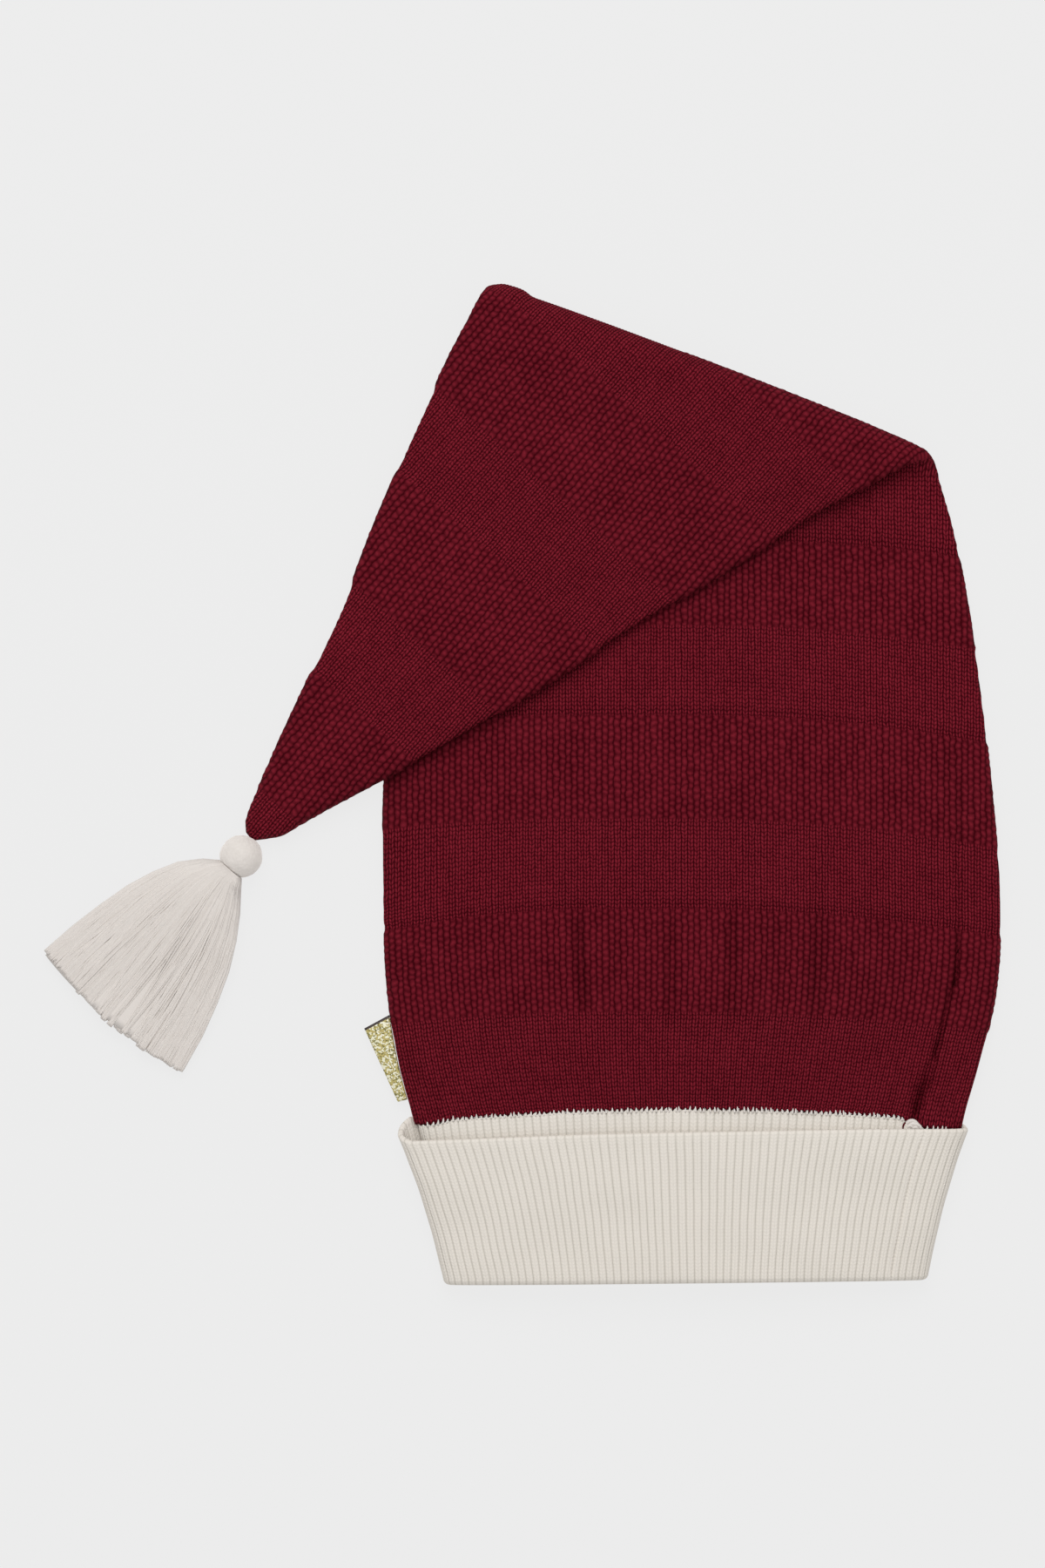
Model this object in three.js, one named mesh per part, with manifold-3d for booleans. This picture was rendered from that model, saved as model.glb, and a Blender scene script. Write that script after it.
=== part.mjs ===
// Knitted santa hat, laid flat on a surface with its long peak folded over the front.
// The crown is one hollow knitted wall from the rim to the tip of the peak. A ribbed cuff is turned up
// round the rim, a woven label sits at the left edge, and a ball and a yarn tassel end the peak.
// Millimetres. +Z is up off the surface, +Y runs from the cuff to the fold, +X is to the right.
import * as THREE from "three";
import Module from "manifold-3d";
import { mergeVertices } from "three/addons/utils/BufferGeometryUtils.js";

// Driving dimensions
const CROWN_WALL = 2.2; // knitted wall of the crown
const CUFF_WALL = 2.4; // ribbed wall of one cuff layer
const CUFF_POCKET = 0.6; // free space between the two cuff layers
const RIM_Y = -136.3; // where the crown meets the cuff, in the middle
const RIM_BOW = 5.5; // how much lower the rim lies at the two edges
const CUFF_BOTTOM_Y = -207; // fold of the cuff, which is the hat's mouth
const CUFF_TOP_Y = -145.4; // free edge of the turned-up layer
const RIBS = 132; // ribs round the cuff
const RIB_DEPTH = 0.9; // valley of a rib below its crest
const FOLD_ANGLE = THREE.MathUtils.degToRad(-20.9); // direction of the peak's fold line
const FOLD_REACH = 178.3; // distance of the fold's axis from the origin
const FOLD_HEIGHT = 11; // height of the fold's axis above the surface
const BALL_RADIUS = 8.8;
const BALL_CENTRE = new THREE.Vector3(-116.3, -31.0, BALL_RADIUS);
const TASSEL_AXIS = new THREE.Vector3(-0.636, -0.772, 0).normalize();
const TASSEL_LENGTH = 88.5; // from the ball's centre to the hem
const LOCKS = 15; // locks of yarn across the tassel
const LABEL_THICKNESS = 1.2;
const GAP = 0.3; // clearance between pieces that touch

// Sections of the body from the rim to the fold: plan ends of each section, its height, and its lift
// off the surface, where the cuff's lower layers carry it.
const BODY_SECTIONS = [
  { leftX: -44.5, leftY: RIM_Y, rightX: 181.5, rightY: RIM_Y, loft: 15, lift: 3.0 },
  { leftX: -51.5, leftY: -112, rightX: 189.5, rightY: -112, loft: 17, lift: 1.2 },
  { leftX: -56.0, leftY: -85, rightX: 196.0, rightY: -86, loft: 18.5, lift: 0 },
  { leftX: -57.5, leftY: -50, rightX: 197.8, rightY: -52, loft: 19, lift: 0 },
  { leftX: -57.5, leftY: -5, rightX: 195.0, rightY: -12, loft: 17.5, lift: 0 },
  { leftX: -53.0, leftY: 45, rightX: 190.5, rightY: 30, loft: 15, lift: 0 },
  { leftX: -43.5, leftY: 95, rightX: 184.6, rightY: 72, loft: 12, lift: 0 },
  { leftX: -30.5, leftY: 148, rightX: 178.8, rightY: 102, loft: 10.3, lift: 0 },
  { leftX: -16.6, leftY: 197.2, rightX: 172.4, rightY: 125.0, loft: 10, lift: 0 },
];

// Sections of the peak, which lie parallel to the fold: distance from the fold's axis, plan ends
// along the fold line, and height.
const PEAK_SECTIONS = [
  { reach: 0, left: -88.0, right: 101.0, loft: 10 },
  { reach: 33, left: -91.2, right: 73.2, loft: 9.8 },
  { reach: 68, left: -93.6, right: 47.0, loft: 9.6 },
  { reach: 103, left: -94.9, right: 19.5, loft: 9.4 },
  { reach: 138, left: -95.1, right: -5.6, loft: 9.2 },
  { reach: 173, left: -97.8, right: -33.3, loft: 9.2 },
  { reach: 203, left: -100.0, right: -58.6, loft: 9.5 },
  { reach: 223, left: -101.4, right: -75.6, loft: 9.5 },
  { reach: 233.6, left: -101.4, right: -83.7, loft: 9 },
  { reach: 238.8, left: -99.3, right: -90.9, loft: 7.4 },
];
const PEAK_TIP = { reach: 241.2, along: -95.8 };

// Creases in the upper wall: the side seam, and the gathers that the cuff draws into the lower band.
// across runs from -1 at the left edge to 1 at the right one.
const CREASES = [
  { across: 0.87, halfWidth: 0.05, top: 60, bottom: -140, depth: 3.0 },
  { across: 0.43, halfWidth: 0.05, top: -42, bottom: -104, depth: 1.8 },
  { across: 0.13, halfWidth: 0.05, top: -40, bottom: -108, depth: 1.6 },
  { across: -0.395, halfWidth: 0.045, top: -44, bottom: -106, depth: 2.6 },
];
const CREASE_FADE = 18; // length over which a crease ends

// Tassel at distances from the ball's centre: its half width, its sideways shift and its height
const TASSEL_SECTIONS = [
  { reach: BALL_RADIUS + GAP, halfWidth: 8.5, shift: -1.2, height: 14 },
  { reach: 17, halfWidth: 15.5, shift: -2.2, height: 16 },
  { reach: 37, halfWidth: 26.6, shift: -1.4, height: 14.5 },
  { reach: 63, halfWidth: 34.2, shift: -0.6, height: 11.5 },
  { reach: TASSEL_LENGTH, halfWidth: 38.9, shift: -0.4, height: 8.5 },
];

// Plan corners of the label's free side, and the part of the crown's left edge that holds it
const LABEL_TOP_CORNER = new THREE.Vector2(-65.5, -102.2);
const LABEL_BOTTOM_CORNER = new THREE.Vector2(-51.6, -132.6);
const LABEL_HELD = { from: -96.5, to: -131.5 };

const wasm = await Module();
wasm.setup();

const along = new THREE.Vector2(Math.cos(FOLD_ANGLE), Math.sin(FOLD_ANGLE));
const beyond = new THREE.Vector2(-along.y, along.x);

// Grids of points and faces

class Surface {
  constructor() {
    this.positions = [];
    this.faces = [];
  }

  ring(points) {
    const first = this.positions.length / 3;
    for (const p of points) this.positions.push(p.x, p.y, p.z);
    return { first, count: points.length };
  }

  bridge(a, b) {
    for (let i = 0; i < a.count; i++) {
      const j = (i + 1) % a.count;
      this.faces.push(a.first + i, a.first + j, b.first + j);
      this.faces.push(a.first + i, b.first + j, b.first + i);
    }
  }

  close(ring, tip) {
    const apex = this.ring([tip]).first;
    for (let i = 0; i < ring.count; i++) {
      this.faces.push(ring.first + i, ring.first + ((i + 1) % ring.count), apex);
    }
  }

  // The surface as a geometry whose faces point out of the volume that it holds
  geometry() {
    const corner = (i) => new THREE.Vector3().fromArray(this.positions, 3 * i);
    let volume = 0;
    for (let i = 0; i < this.faces.length; i += 3) {
      const [a, b, c] = this.faces.slice(i, i + 3).map(corner);
      volume += a.dot(b.cross(c));
    }
    const index = volume < 0 ? this.faces.toReversed() : this.faces;
    return new THREE.BufferGeometry()
      .setAttribute("position", new THREE.Float32BufferAttribute(this.positions, 3))
      .setIndex(index);
  }
}

const middle = (points) =>
  points.reduce((sum, p) => sum.add(p), new THREE.Vector3()).divideScalar(points.length);

// Flattened closed sections

const EDGE_SHARE = 0.25; // height of a section's side edges, as a share of its own height
const EDGE_LEAST = 0.8; // least height of the hollow's side edges above its floor
const FLAT_SHARE = 0.7; // share of the width over which the lower wall lies flat
const CROWN_POWER = 2.2; // how full the upper wall is

// Height of a hollow section over its width: angle 0 is the right edge, and the upper wall comes first.
function plainHeight(angle, hollow) {
  const across = Math.abs(Math.cos(angle));
  if (Math.sin(angle) >= 0) {
    const full = Math.sqrt(Math.max(0, 1 - across ** CROWN_POWER));
    return hollow.edge + (hollow.top - hollow.edge) * full;
  }
  const curl = Math.max(0, (across - FLAT_SHARE) / (1 - FLAT_SHARE));
  return hollow.edge + (hollow.floor - hollow.edge) * Math.sqrt(Math.max(0, 1 - curl ** 2));
}

// turned is 0 where the flat side lies down and 1 where the section has been folded over.
function hollowPoint(angle, hollow, turned) {
  const lying = plainHeight(angle, hollow);
  const folded = hollow.floor + hollow.top - plainHeight(-angle, hollow);
  return new THREE.Vector2(hollow.half * Math.cos(angle), THREE.MathUtils.lerp(lying, folded, turned));
}

// A point of the section, moved out of the hollow by a distance along the section's normal
function sectionPoint(angle, hollow, turned, outward) {
  const step = 0.01;
  const point = hollowPoint(angle, hollow, turned);
  const run = hollowPoint(angle + step, hollow, turned).sub(hollowPoint(angle - step, hollow, turned));
  const normal = new THREE.Vector2(run.y, -run.x).normalize();
  return point.addScaledVector(normal, outward);
}

function hollowOf(width, loft, wall) {
  const floor = wall;
  const top = loft - wall;
  const edge = Math.max(floor + EDGE_LEAST, EDGE_SHARE * loft);
  return { half: width / 2 - wall, floor, edge, top };
}

// Crown

// Curves through one or two columns of a table of sections
const columnCurve = (rows, x, y) =>
  new THREE.CatmullRomCurve3(rows.map((r) => new THREE.Vector3(r[x], r[y], 0)), false, "catmullrom");
const bodyLeft = columnCurve(BODY_SECTIONS, "leftX", "leftY");
const bodyRight = columnCurve(BODY_SECTIONS, "rightX", "rightY");
const bodyHeights = columnCurve(BODY_SECTIONS, "loft", "lift");
const peakEnds = columnCurve(PEAK_SECTIONS, "left", "right");
const peakHeights = columnCurve(PEAK_SECTIONS, "reach", "loft");

const flat = (v) => new THREE.Vector2(v.x, v.y);

function bodySection(t) {
  const left = flat(bodyLeft.getPoint(t));
  const right = flat(bodyRight.getPoint(t));
  const heights = bodyHeights.getPoint(t);
  return { left, right, loft: heights.x, lift: Math.max(0, heights.y) };
}

// How much the rim's bow lowers a point of the body
const BOW_END = 0.25; // share of the body over which the bow fades
function bowAt(t, across) {
  const fade = Math.max(0, 1 - t / BOW_END);
  return RIM_BOW * fade * across ** 2;
}

function creaseAt(across, y) {
  let depth = 0;
  for (const crease of CREASES) {
    const beside = Math.max(0, 1 - Math.abs(across - crease.across) / crease.halfWidth);
    const above = THREE.MathUtils.smoothstep(crease.top - y, 0, CREASE_FADE);
    const below = THREE.MathUtils.smoothstep(y - crease.bottom, 0, CREASE_FADE);
    depth += crease.depth * beside * above * below;
  }
  return depth;
}

// The station and place across the body of a point in plan, also for a point beside the body
function locate(point) {
  let low = 0;
  let high = 1;
  const offset = new THREE.Vector2();
  for (let i = 0; i < 24; i++) {
    const t = (low + high) / 2;
    const { left, right } = bodySection(t);
    const above = right.clone().sub(left).cross(offset.copy(point).sub(left)) > 0;
    if (above) low = t;
    else high = t;
  }
  const { left, right, loft } = bodySection(low);
  const chord = right.clone().sub(left);
  const across = (2 * offset.copy(point).sub(left).dot(chord)) / chord.lengthSq() - 1;
  return { across, loft };
}

// Height of what the folded peak lies on: the body's upper wall, which falls away to the surface
const SLOPE_LEFT = { from: -0.62, to: -1.45 };
const SLOPE_RIGHT = { from: 0.55, to: 1.7 };
const PEAK_CLEARANCE = 1.2; // free space under the peak
const SETTLE = 45; // length over which the peak settles from the fold onto the body
function fall(across, slope) {
  const share = THREE.MathUtils.clamp((across - slope.from) / (slope.to - slope.from), 0, 1);
  return 0.5 + 0.5 * Math.cos(Math.PI * share);
}
function peakFloor(point, reach, foldLoft) {
  const { across, loft } = locate(point);
  const settled = PEAK_CLEARANCE + loft * fall(across, SLOPE_LEFT) * fall(across, SLOPE_RIGHT);
  const atFold = 2 * FOLD_HEIGHT - foldLoft;
  return THREE.MathUtils.lerp(atFold, settled, THREE.MathUtils.smoothstep(reach, 0, SETTLE));
}

const inPlan = (alongFold, beyondFold) =>
  along.clone().multiplyScalar(alongFold).addScaledVector(beyond, beyondFold);

function bodyRing(t, angles, outward) {
  const { left, right, loft, lift } = bodySection(t);
  const chord = right.clone().sub(left);
  const hollow = hollowOf(chord.length(), loft, CROWN_WALL);
  return angles.map((angle) => {
    const at = sectionPoint(angle, hollow, 0, outward);
    const across = Math.cos(angle);
    const place = left.clone().add(right).multiplyScalar(0.5);
    place.addScaledVector(chord.clone().normalize(), at.x);
    place.y -= bowAt(t, across);
    const crease = Math.sin(angle) > 0 ? creaseAt(across, place.y) : 0;
    return new THREE.Vector3(place.x, place.y, lift + at.y - crease);
  });
}

function foldRing(share, angles, outward) {
  const start = bodySection(1);
  const end = PEAK_SECTIONS[0];
  const left = THREE.MathUtils.lerp(start.left.dot(along), end.left, share);
  const right = THREE.MathUtils.lerp(start.right.dot(along), end.right, share);
  const hollow = hollowOf(right - left, start.loft, CROWN_WALL);
  return angles.map((angle) => {
    const at = sectionPoint(angle, hollow, share, outward);
    const radius = FOLD_HEIGHT - at.y;
    const turn = Math.PI * share;
    const place = inPlan((left + right) / 2 + at.x, FOLD_REACH + radius * Math.sin(turn));
    return new THREE.Vector3(place.x, place.y, FOLD_HEIGHT - radius * Math.cos(turn));
  });
}

function peakRing(t, angles, outward) {
  const ends = peakEnds.getPoint(t);
  const { x: reach, y: loft } = peakHeights.getPoint(t);
  const hollow = hollowOf(ends.y - ends.x, loft, CROWN_WALL);
  return angles.map((angle) => {
    const at = sectionPoint(angle, hollow, 1, outward);
    const place = inPlan((ends.x + ends.y) / 2 + at.x, FOLD_REACH - reach);
    const foldLoft = PEAK_SECTIONS[0].loft;
    return new THREE.Vector3(place.x, place.y, peakFloor(place, reach, foldLoft) + loft - at.y);
  });
}

// Angles round a section, closer together at the side edges, with one on each crease and its sides
const UPPER_STEPS = 15;
const LOWER_STEPS = 10;
function sectionAngles() {
  const steps = (count, from) =>
    Array.from({ length: count }, (_, i) => from + (Math.PI * i) / count);
  const creases = CREASES.flatMap((c) => [-1, 0, 1].map((s) => Math.acos(c.across + s * c.halfWidth)));
  const apart = 0.06;
  const plain = steps(UPPER_STEPS, 0).filter((a) => creases.every((c) => Math.abs(a - c) > apart));
  const upper = [...plain, ...creases].sort((a, b) => a - b);
  return [...upper, ...steps(LOWER_STEPS, Math.PI)];
}

const BODY_STEPS = 14;
const FOLD_STEPS = 6;
const PEAK_STEPS = 13;
function crownGeometry() {
  const angles = sectionAngles();
  const rings = (outward) => [
    ...Array.from({ length: BODY_STEPS }, (_, i) => bodyRing(i / BODY_STEPS, angles, outward)),
    ...Array.from({ length: FOLD_STEPS }, (_, i) => foldRing(i / FOLD_STEPS, angles, outward)),
    ...Array.from({ length: PEAK_STEPS + 1 }, (_, i) => peakRing(i / PEAK_STEPS, angles, outward)),
  ];
  const surface = new Surface();
  const outer = rings(CROWN_WALL).map((r) => surface.ring(r));
  const innerPoints = rings(0).slice(0, -1);
  const inner = innerPoints.map((r) => surface.ring(r));
  for (let i = 1; i < outer.length; i++) surface.bridge(outer[i - 1], outer[i]);
  for (let i = 1; i < inner.length; i++) surface.bridge(inner[i], inner[i - 1]);
  surface.bridge(inner[0], outer[0]);
  const tip = inPlan(PEAK_TIP.along, FOLD_REACH - PEAK_TIP.reach);
  const last = peakRing(1, angles, 0);
  surface.close(outer.at(-1), new THREE.Vector3(tip.x, tip.y, middle(last).z));
  const innerTip = surface.ring([middle(last)]).first;
  const end = inner.at(-1);
  for (let i = 0; i < end.count; i++) {
    surface.faces.push(end.first + ((i + 1) % end.count), end.first + i, innerTip);
  }
  return surface.geometry();
}

// Cuff

// Hollow that the cuff's layers lie round, at the mouth and at the free edge of the turned-up layer
const MOUTH = { left: -27.4, right: 162.4, low: 5.4, high: 14.9 };
const FREE_EDGE = { left: -46.1, right: 178.8, low: 5.4, high: 16.4 };
const RIM_DRAW = 1.4; // how much narrower than the crown the inner layer is at each side
const MOUTH_TILT = 1.0; // how much higher the mouth lies at its right end than in the middle
const BACK_RISE = 4.5; // how far the free edge rises on the side that lies down
const CORNER_DROP = 2.6; // how far it drops at the left corner

function rimHollow() {
  const { left, right, loft, lift } = bodySection(0);
  return {
    left: left.x + CUFF_WALL + RIM_DRAW,
    right: right.x - CUFF_WALL - RIM_DRAW,
    low: lift + CUFF_WALL,
    high: lift + loft - CUFF_WALL,
  };
}

// Points at equal steps round a flattened loop, moved outward, with a valley at every second one
function ribbedRing(bounds, outward, valley, yAt) {
  const count = 2 * RIBS;
  const half = (bounds.right - bounds.left) / 2;
  const edge = bounds.low + EDGE_SHARE * (bounds.high - bounds.low);
  const hollow = { half, floor: bounds.low, edge, top: bounds.high };
  const outline = Array.from({ length: 8 * count + 1 }, (_, i) => {
    const angle = (2 * Math.PI * i) / (8 * count);
    return { angle, at: hollowPoint(angle, hollow, 0), run: 0 };
  });
  for (let i = 1; i < outline.length; i++) {
    outline[i].run = outline[i - 1].run + outline[i].at.distanceTo(outline[i - 1].at);
  }
  const round = outline.at(-1).run;
  let next = 0;
  return Array.from({ length: count }, (_, i) => {
    while (outline[next + 1].run < (round * i) / count) next++;
    const angle = outline[next].angle;
    const at = sectionPoint(angle, hollow, 0, outward - (i % 2 ? valley : 0));
    const across = Math.cos(angle);
    return new THREE.Vector3((bounds.left + bounds.right) / 2 + at.x, yAt(across, angle), at.y);
  });
}

function cuffGeometry() {
  const turn = CUFF_WALL + CUFF_POCKET / 2; // radius of the fold at the mouth
  const foldY = CUFF_BOTTOM_Y + turn;
  const rim = rimHollow();
  const atRim = (across) => RIM_Y - RIM_BOW * across ** 2 - GAP;
  const level = (y) => (across) => y + MOUTH_TILT * across;
  const atFreeEdge = (across, angle) => {
    const back = Math.max(0, -Math.sin(angle)) ** 0.5;
    const corner = Math.max(0, -across) ** 6;
    return CUFF_TOP_Y + BACK_RISE * back - CORNER_DROP * corner * (1 - back);
  };
  const FOLD_POINTS = 2;
  const fold = Array.from({ length: FOLD_POINTS }, (_, i) => {
    const angle = (Math.PI * (i + 1)) / (FOLD_POINTS + 1);
    const outward = turn - turn * Math.cos(angle);
    const valley = RIB_DEPTH * Math.abs(Math.cos(angle));
    return ribbedRing(MOUTH, outward, valley, level(foldY - turn * Math.sin(angle)));
  });
  const rows = [
    ribbedRing(rim, 0, -RIB_DEPTH / 2, atRim),
    ribbedRing(MOUTH, 0, -RIB_DEPTH / 2, level(foldY)),
    ...fold,
    ribbedRing(MOUTH, 2 * turn, RIB_DEPTH, level(foldY)),
    ribbedRing(FREE_EDGE, 2 * turn, RIB_DEPTH, atFreeEdge),
    ribbedRing(FREE_EDGE, CUFF_WALL + CUFF_POCKET, 0, atFreeEdge),
    ribbedRing(MOUTH, CUFF_WALL + CUFF_POCKET, 0, level(CUFF_BOTTOM_Y + CUFF_WALL)),
    ribbedRing(MOUTH, CUFF_WALL, 0, level(CUFF_BOTTOM_Y + CUFF_WALL)),
    ribbedRing(rim, CUFF_WALL, 0, atRim),
  ];
  const surface = new Surface();
  const rings = rows.map((r) => surface.ring(r));
  rings.forEach((ring, i) => surface.bridge(ring, rings[(i + 1) % rings.length]));
  return surface.geometry();
}

// Label

function labelGeometry() {
  const STEPS = 6;
  const held = Array.from({ length: STEPS + 1 }, (_, i) => {
    const y = THREE.MathUtils.lerp(LABEL_HELD.from, LABEL_HELD.to, i / STEPS);
    return new THREE.Vector2(crownEdgeX(y) - GAP, y);
  });
  const outline = new THREE.Shape([LABEL_TOP_CORNER, LABEL_BOTTOM_CORNER, ...held.reverse()]);
  return new THREE.ExtrudeGeometry(outline, { depth: LABEL_THICKNESS, bevelEnabled: false });
}

// Left edge of the crown at a height in plan, with the bow of its rim
function crownEdgeX(y) {
  const SAMPLES = 400;
  let best = new THREE.Vector2(0, Infinity);
  for (let i = 0; i <= SAMPLES; i++) {
    const t = (BOW_END * i) / SAMPLES;
    const place = flat(bodyLeft.getPoint(t));
    place.y -= bowAt(t, 1);
    if (Math.abs(place.y - y) < Math.abs(best.y - y)) best = place;
  }
  return best.x;
}

function labelHeight() {
  const held = BODY_SECTIONS[1];
  return held.lift + EDGE_SHARE * held.loft - LABEL_THICKNESS / 2;
}

// Tassel

const asSolid = (geometry) => {
  const merged = mergeVertices(geometry, 1e-3);
  return new wasm.Manifold(
    new wasm.Mesh({
      numProp: 3,
      vertProperties: merged.attributes.position.array,
      triVerts: new Uint32Array(merged.index.array),
    }),
  );
};

function asGeometry(solid) {
  const mesh = solid.getMesh();
  return new THREE.BufferGeometry()
    .setAttribute("position", new THREE.BufferAttribute(mesh.vertProperties, 3))
    .setIndex(new THREE.BufferAttribute(mesh.triVerts, 1));
}

// One lock of yarn: a flattened tube from the neck to the hem, at a place across the tassel from -1 to 1
const LOCK_SIDES = 6;
const LOCK_OVERLAP = 1.25; // width of a lock over its share of the tassel
const HEM_BOW = 0.1; // how much shorter the outermost locks are, as a share of their half width
const HEM_STAGGER = 1.2; // difference in length between neighbouring locks
const SIDE_THINNING = 0.7; // how much thinner the tassel gets towards its sides
const sideways = new THREE.Vector3(-TASSEL_AXIS.y, TASSEL_AXIS.x, 0);
function lockGeometry(place, index) {
  const hem = TASSEL_SECTIONS.at(-1);
  const shortened = HEM_BOW * hem.halfWidth * place ** 2 + (index % 2 ? HEM_STAGGER : 0);
  const surface = new Surface();
  const rings = TASSEL_SECTIONS.map((section) => {
    const reach = section === hem ? section.reach - shortened : section.reach;
    const half = (LOCK_OVERLAP * section.halfWidth) / LOCKS;
    const height = section.height * Math.sqrt(1 - SIDE_THINNING * place ** 2);
    const centre = new THREE.Vector3(BALL_CENTRE.x, BALL_CENTRE.y, 0)
      .addScaledVector(TASSEL_AXIS, reach)
      .addScaledVector(sideways, section.shift + place * (section.halfWidth - half));
    const points = Array.from({ length: LOCK_SIDES }, (_, i) => {
      const angle = (2 * Math.PI * (i + 0.5)) / LOCK_SIDES;
      const point = centre.clone().addScaledVector(sideways, half * Math.cos(angle));
      point.z = (height / 2) * (1 + Math.sin(angle));
      return point;
    });
    return { points, ring: surface.ring(points) };
  });
  for (let i = 1; i < rings.length; i++) surface.bridge(rings[i - 1].ring, rings[i].ring);
  surface.close(rings.at(-1).ring, middle(rings.at(-1).points));
  const neck = rings[0];
  const start = surface.ring([middle(neck.points)]).first;
  for (let i = 0; i < LOCK_SIDES; i++) {
    surface.faces.push(neck.ring.first + ((i + 1) % LOCK_SIDES), neck.ring.first + i, start);
  }
  return surface.geometry();
}

// Rounded head under the ball, which the locks are joined to
const HEAD = { depth: 9, width: 17.5, height: 14.4 };
function headGeometry() {
  const neck = TASSEL_SECTIONS[0];
  const place = new THREE.Matrix4()
    .makeBasis(TASSEL_AXIS, sideways, new THREE.Vector3(0, 0, 1))
    .scale(new THREE.Vector3(HEAD.depth / 2, HEAD.width / 2, HEAD.height / 2));
  const centre = new THREE.Vector3(BALL_CENTRE.x, BALL_CENTRE.y, HEAD.height / 2)
    .addScaledVector(TASSEL_AXIS, neck.reach + HEAD.depth / 2)
    .addScaledVector(sideways, neck.shift);
  return new THREE.SphereGeometry(1, 8, 6).applyMatrix4(place.setPosition(centre));
}

function tasselGeometry() {
  const locks = Array.from({ length: LOCKS }, (_, i) => {
    const place = (2 * i) / (LOCKS - 1) - 1;
    return asSolid(lockGeometry(place, i));
  });
  const head = asSolid(headGeometry().deleteAttribute("normal").deleteAttribute("uv"));
  return asGeometry(locks.reduce((joined, lock) => joined.add(lock), head));
}

// Assembly

const knit = (color, roughness) => new THREE.MeshStandardMaterial({ color, roughness, metalness: 0 });
const RED_KNIT = knit(0x5b131e, 0.95);
const CREAM_KNIT = knit(0xd8d1c7, 0.92);
const CREAM_YARN = knit(0xd4cdc7, 0.88);
const GOLD_WEAVE = new THREE.MeshStandardMaterial({ color: 0xc2ae6e, roughness: 0.45, metalness: 0.6 });

function piece(name, geometry, material) {
  const mesh = new THREE.Mesh(geometry, material);
  mesh.name = name;
  return mesh;
}

const BALL_SIDES = 18;
const BALL_RINGS = 10;
const lying = new THREE.Group();
lying.add(piece("crown", crownGeometry(), RED_KNIT));
lying.add(piece("cuff", cuffGeometry(), CREAM_KNIT));
const label = piece("label", labelGeometry(), GOLD_WEAVE);
label.position.z = labelHeight();
lying.add(label);
const ballGeometry = new THREE.SphereGeometry(BALL_RADIUS, BALL_SIDES, BALL_RINGS);
const ball = piece("tassel_ball", ballGeometry, CREAM_YARN);
ball.rotation.x = Math.PI / 2;
ball.position.copy(BALL_CENTRE);
lying.add(ball);
lying.add(piece("tassel_skirt", tasselGeometry(), CREAM_YARN));

// The origin is on the surface, under the middle of the hat.
const bounds = new THREE.Box3().setFromObject(lying);
const centre = bounds.getCenter(new THREE.Vector3());
lying.position.set(-centre.x, -centre.y, -bounds.min.z);

const hat = new THREE.Group();
hat.add(lying);
export default hat;
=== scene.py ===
"""Knitted santa hat, laid flat with its peak folded over the front: its looks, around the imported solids.

Shapes are worked out in millimetres in the lying frame, in which the solids were drawn, and meshes are
made in metres in the solids' own frame.
"""

import math

import bpy
import numpy as np
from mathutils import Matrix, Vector
from mathutils.geometry import delaunay_2d_cdt


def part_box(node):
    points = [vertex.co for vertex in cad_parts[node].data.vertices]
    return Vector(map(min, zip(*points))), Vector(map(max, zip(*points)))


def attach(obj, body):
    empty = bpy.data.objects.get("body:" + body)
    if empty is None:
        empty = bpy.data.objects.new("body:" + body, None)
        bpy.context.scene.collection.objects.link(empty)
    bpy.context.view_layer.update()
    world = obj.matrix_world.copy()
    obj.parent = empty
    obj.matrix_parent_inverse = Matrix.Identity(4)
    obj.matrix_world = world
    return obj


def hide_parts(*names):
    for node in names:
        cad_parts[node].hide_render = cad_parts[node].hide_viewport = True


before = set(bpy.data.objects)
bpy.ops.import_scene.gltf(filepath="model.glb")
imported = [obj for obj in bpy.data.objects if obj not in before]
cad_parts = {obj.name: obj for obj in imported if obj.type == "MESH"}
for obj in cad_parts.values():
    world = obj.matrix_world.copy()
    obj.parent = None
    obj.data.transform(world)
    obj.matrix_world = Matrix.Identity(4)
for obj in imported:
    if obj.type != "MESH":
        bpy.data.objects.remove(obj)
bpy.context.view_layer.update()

# Sizes that the solids have too
CROWN_WALL = 2.2
CUFF_WALL = 2.4
CUFF_POCKET = 0.6
RIM_Y = -136.3
RIM_BOW = 5.5
BOW_END = 0.25
CUFF_BOTTOM_Y = -207.0
RIBS = 138
RIB_DEPTH = 0.9
FOLD_ANGLE = math.radians(-20.9)
FOLD_REACH = 178.3
FOLD_HEIGHT = 11.0
BALL_RADIUS = 8.8
BALL_CENTRE = np.array([-116.3, -31.0, BALL_RADIUS])
TASSEL_LENGTH = 88.5
HEM_HALF_WIDTH = 38.9
GAP = 0.3

# Sections of the body from the rim to the fold
BODY_COLUMNS = ("left_x", "left_y", "right_x", "right_y", "loft", "lift")
BODY_SECTIONS = [
    (-44.5, RIM_Y, 181.5, RIM_Y, 15.0, 3.0),
    (-51.5, -112.0, 189.5, -112.0, 17.0, 1.2),
    (-56.0, -85.0, 196.0, -86.0, 18.5, 0.0),
    (-57.5, -50.0, 197.8, -52.0, 19.0, 0.0),
    (-57.5, -5.0, 195.0, -12.0, 17.5, 0.0),
    (-53.0, 45.0, 190.5, 30.0, 15.0, 0.0),
    (-43.5, 95.0, 184.6, 72.0, 12.0, 0.0),
    (-30.5, 148.0, 178.8, 102.0, 10.3, 0.0),
    (-16.6, 197.2, 172.4, 125.0, 10.0, 0.0),
]

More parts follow.
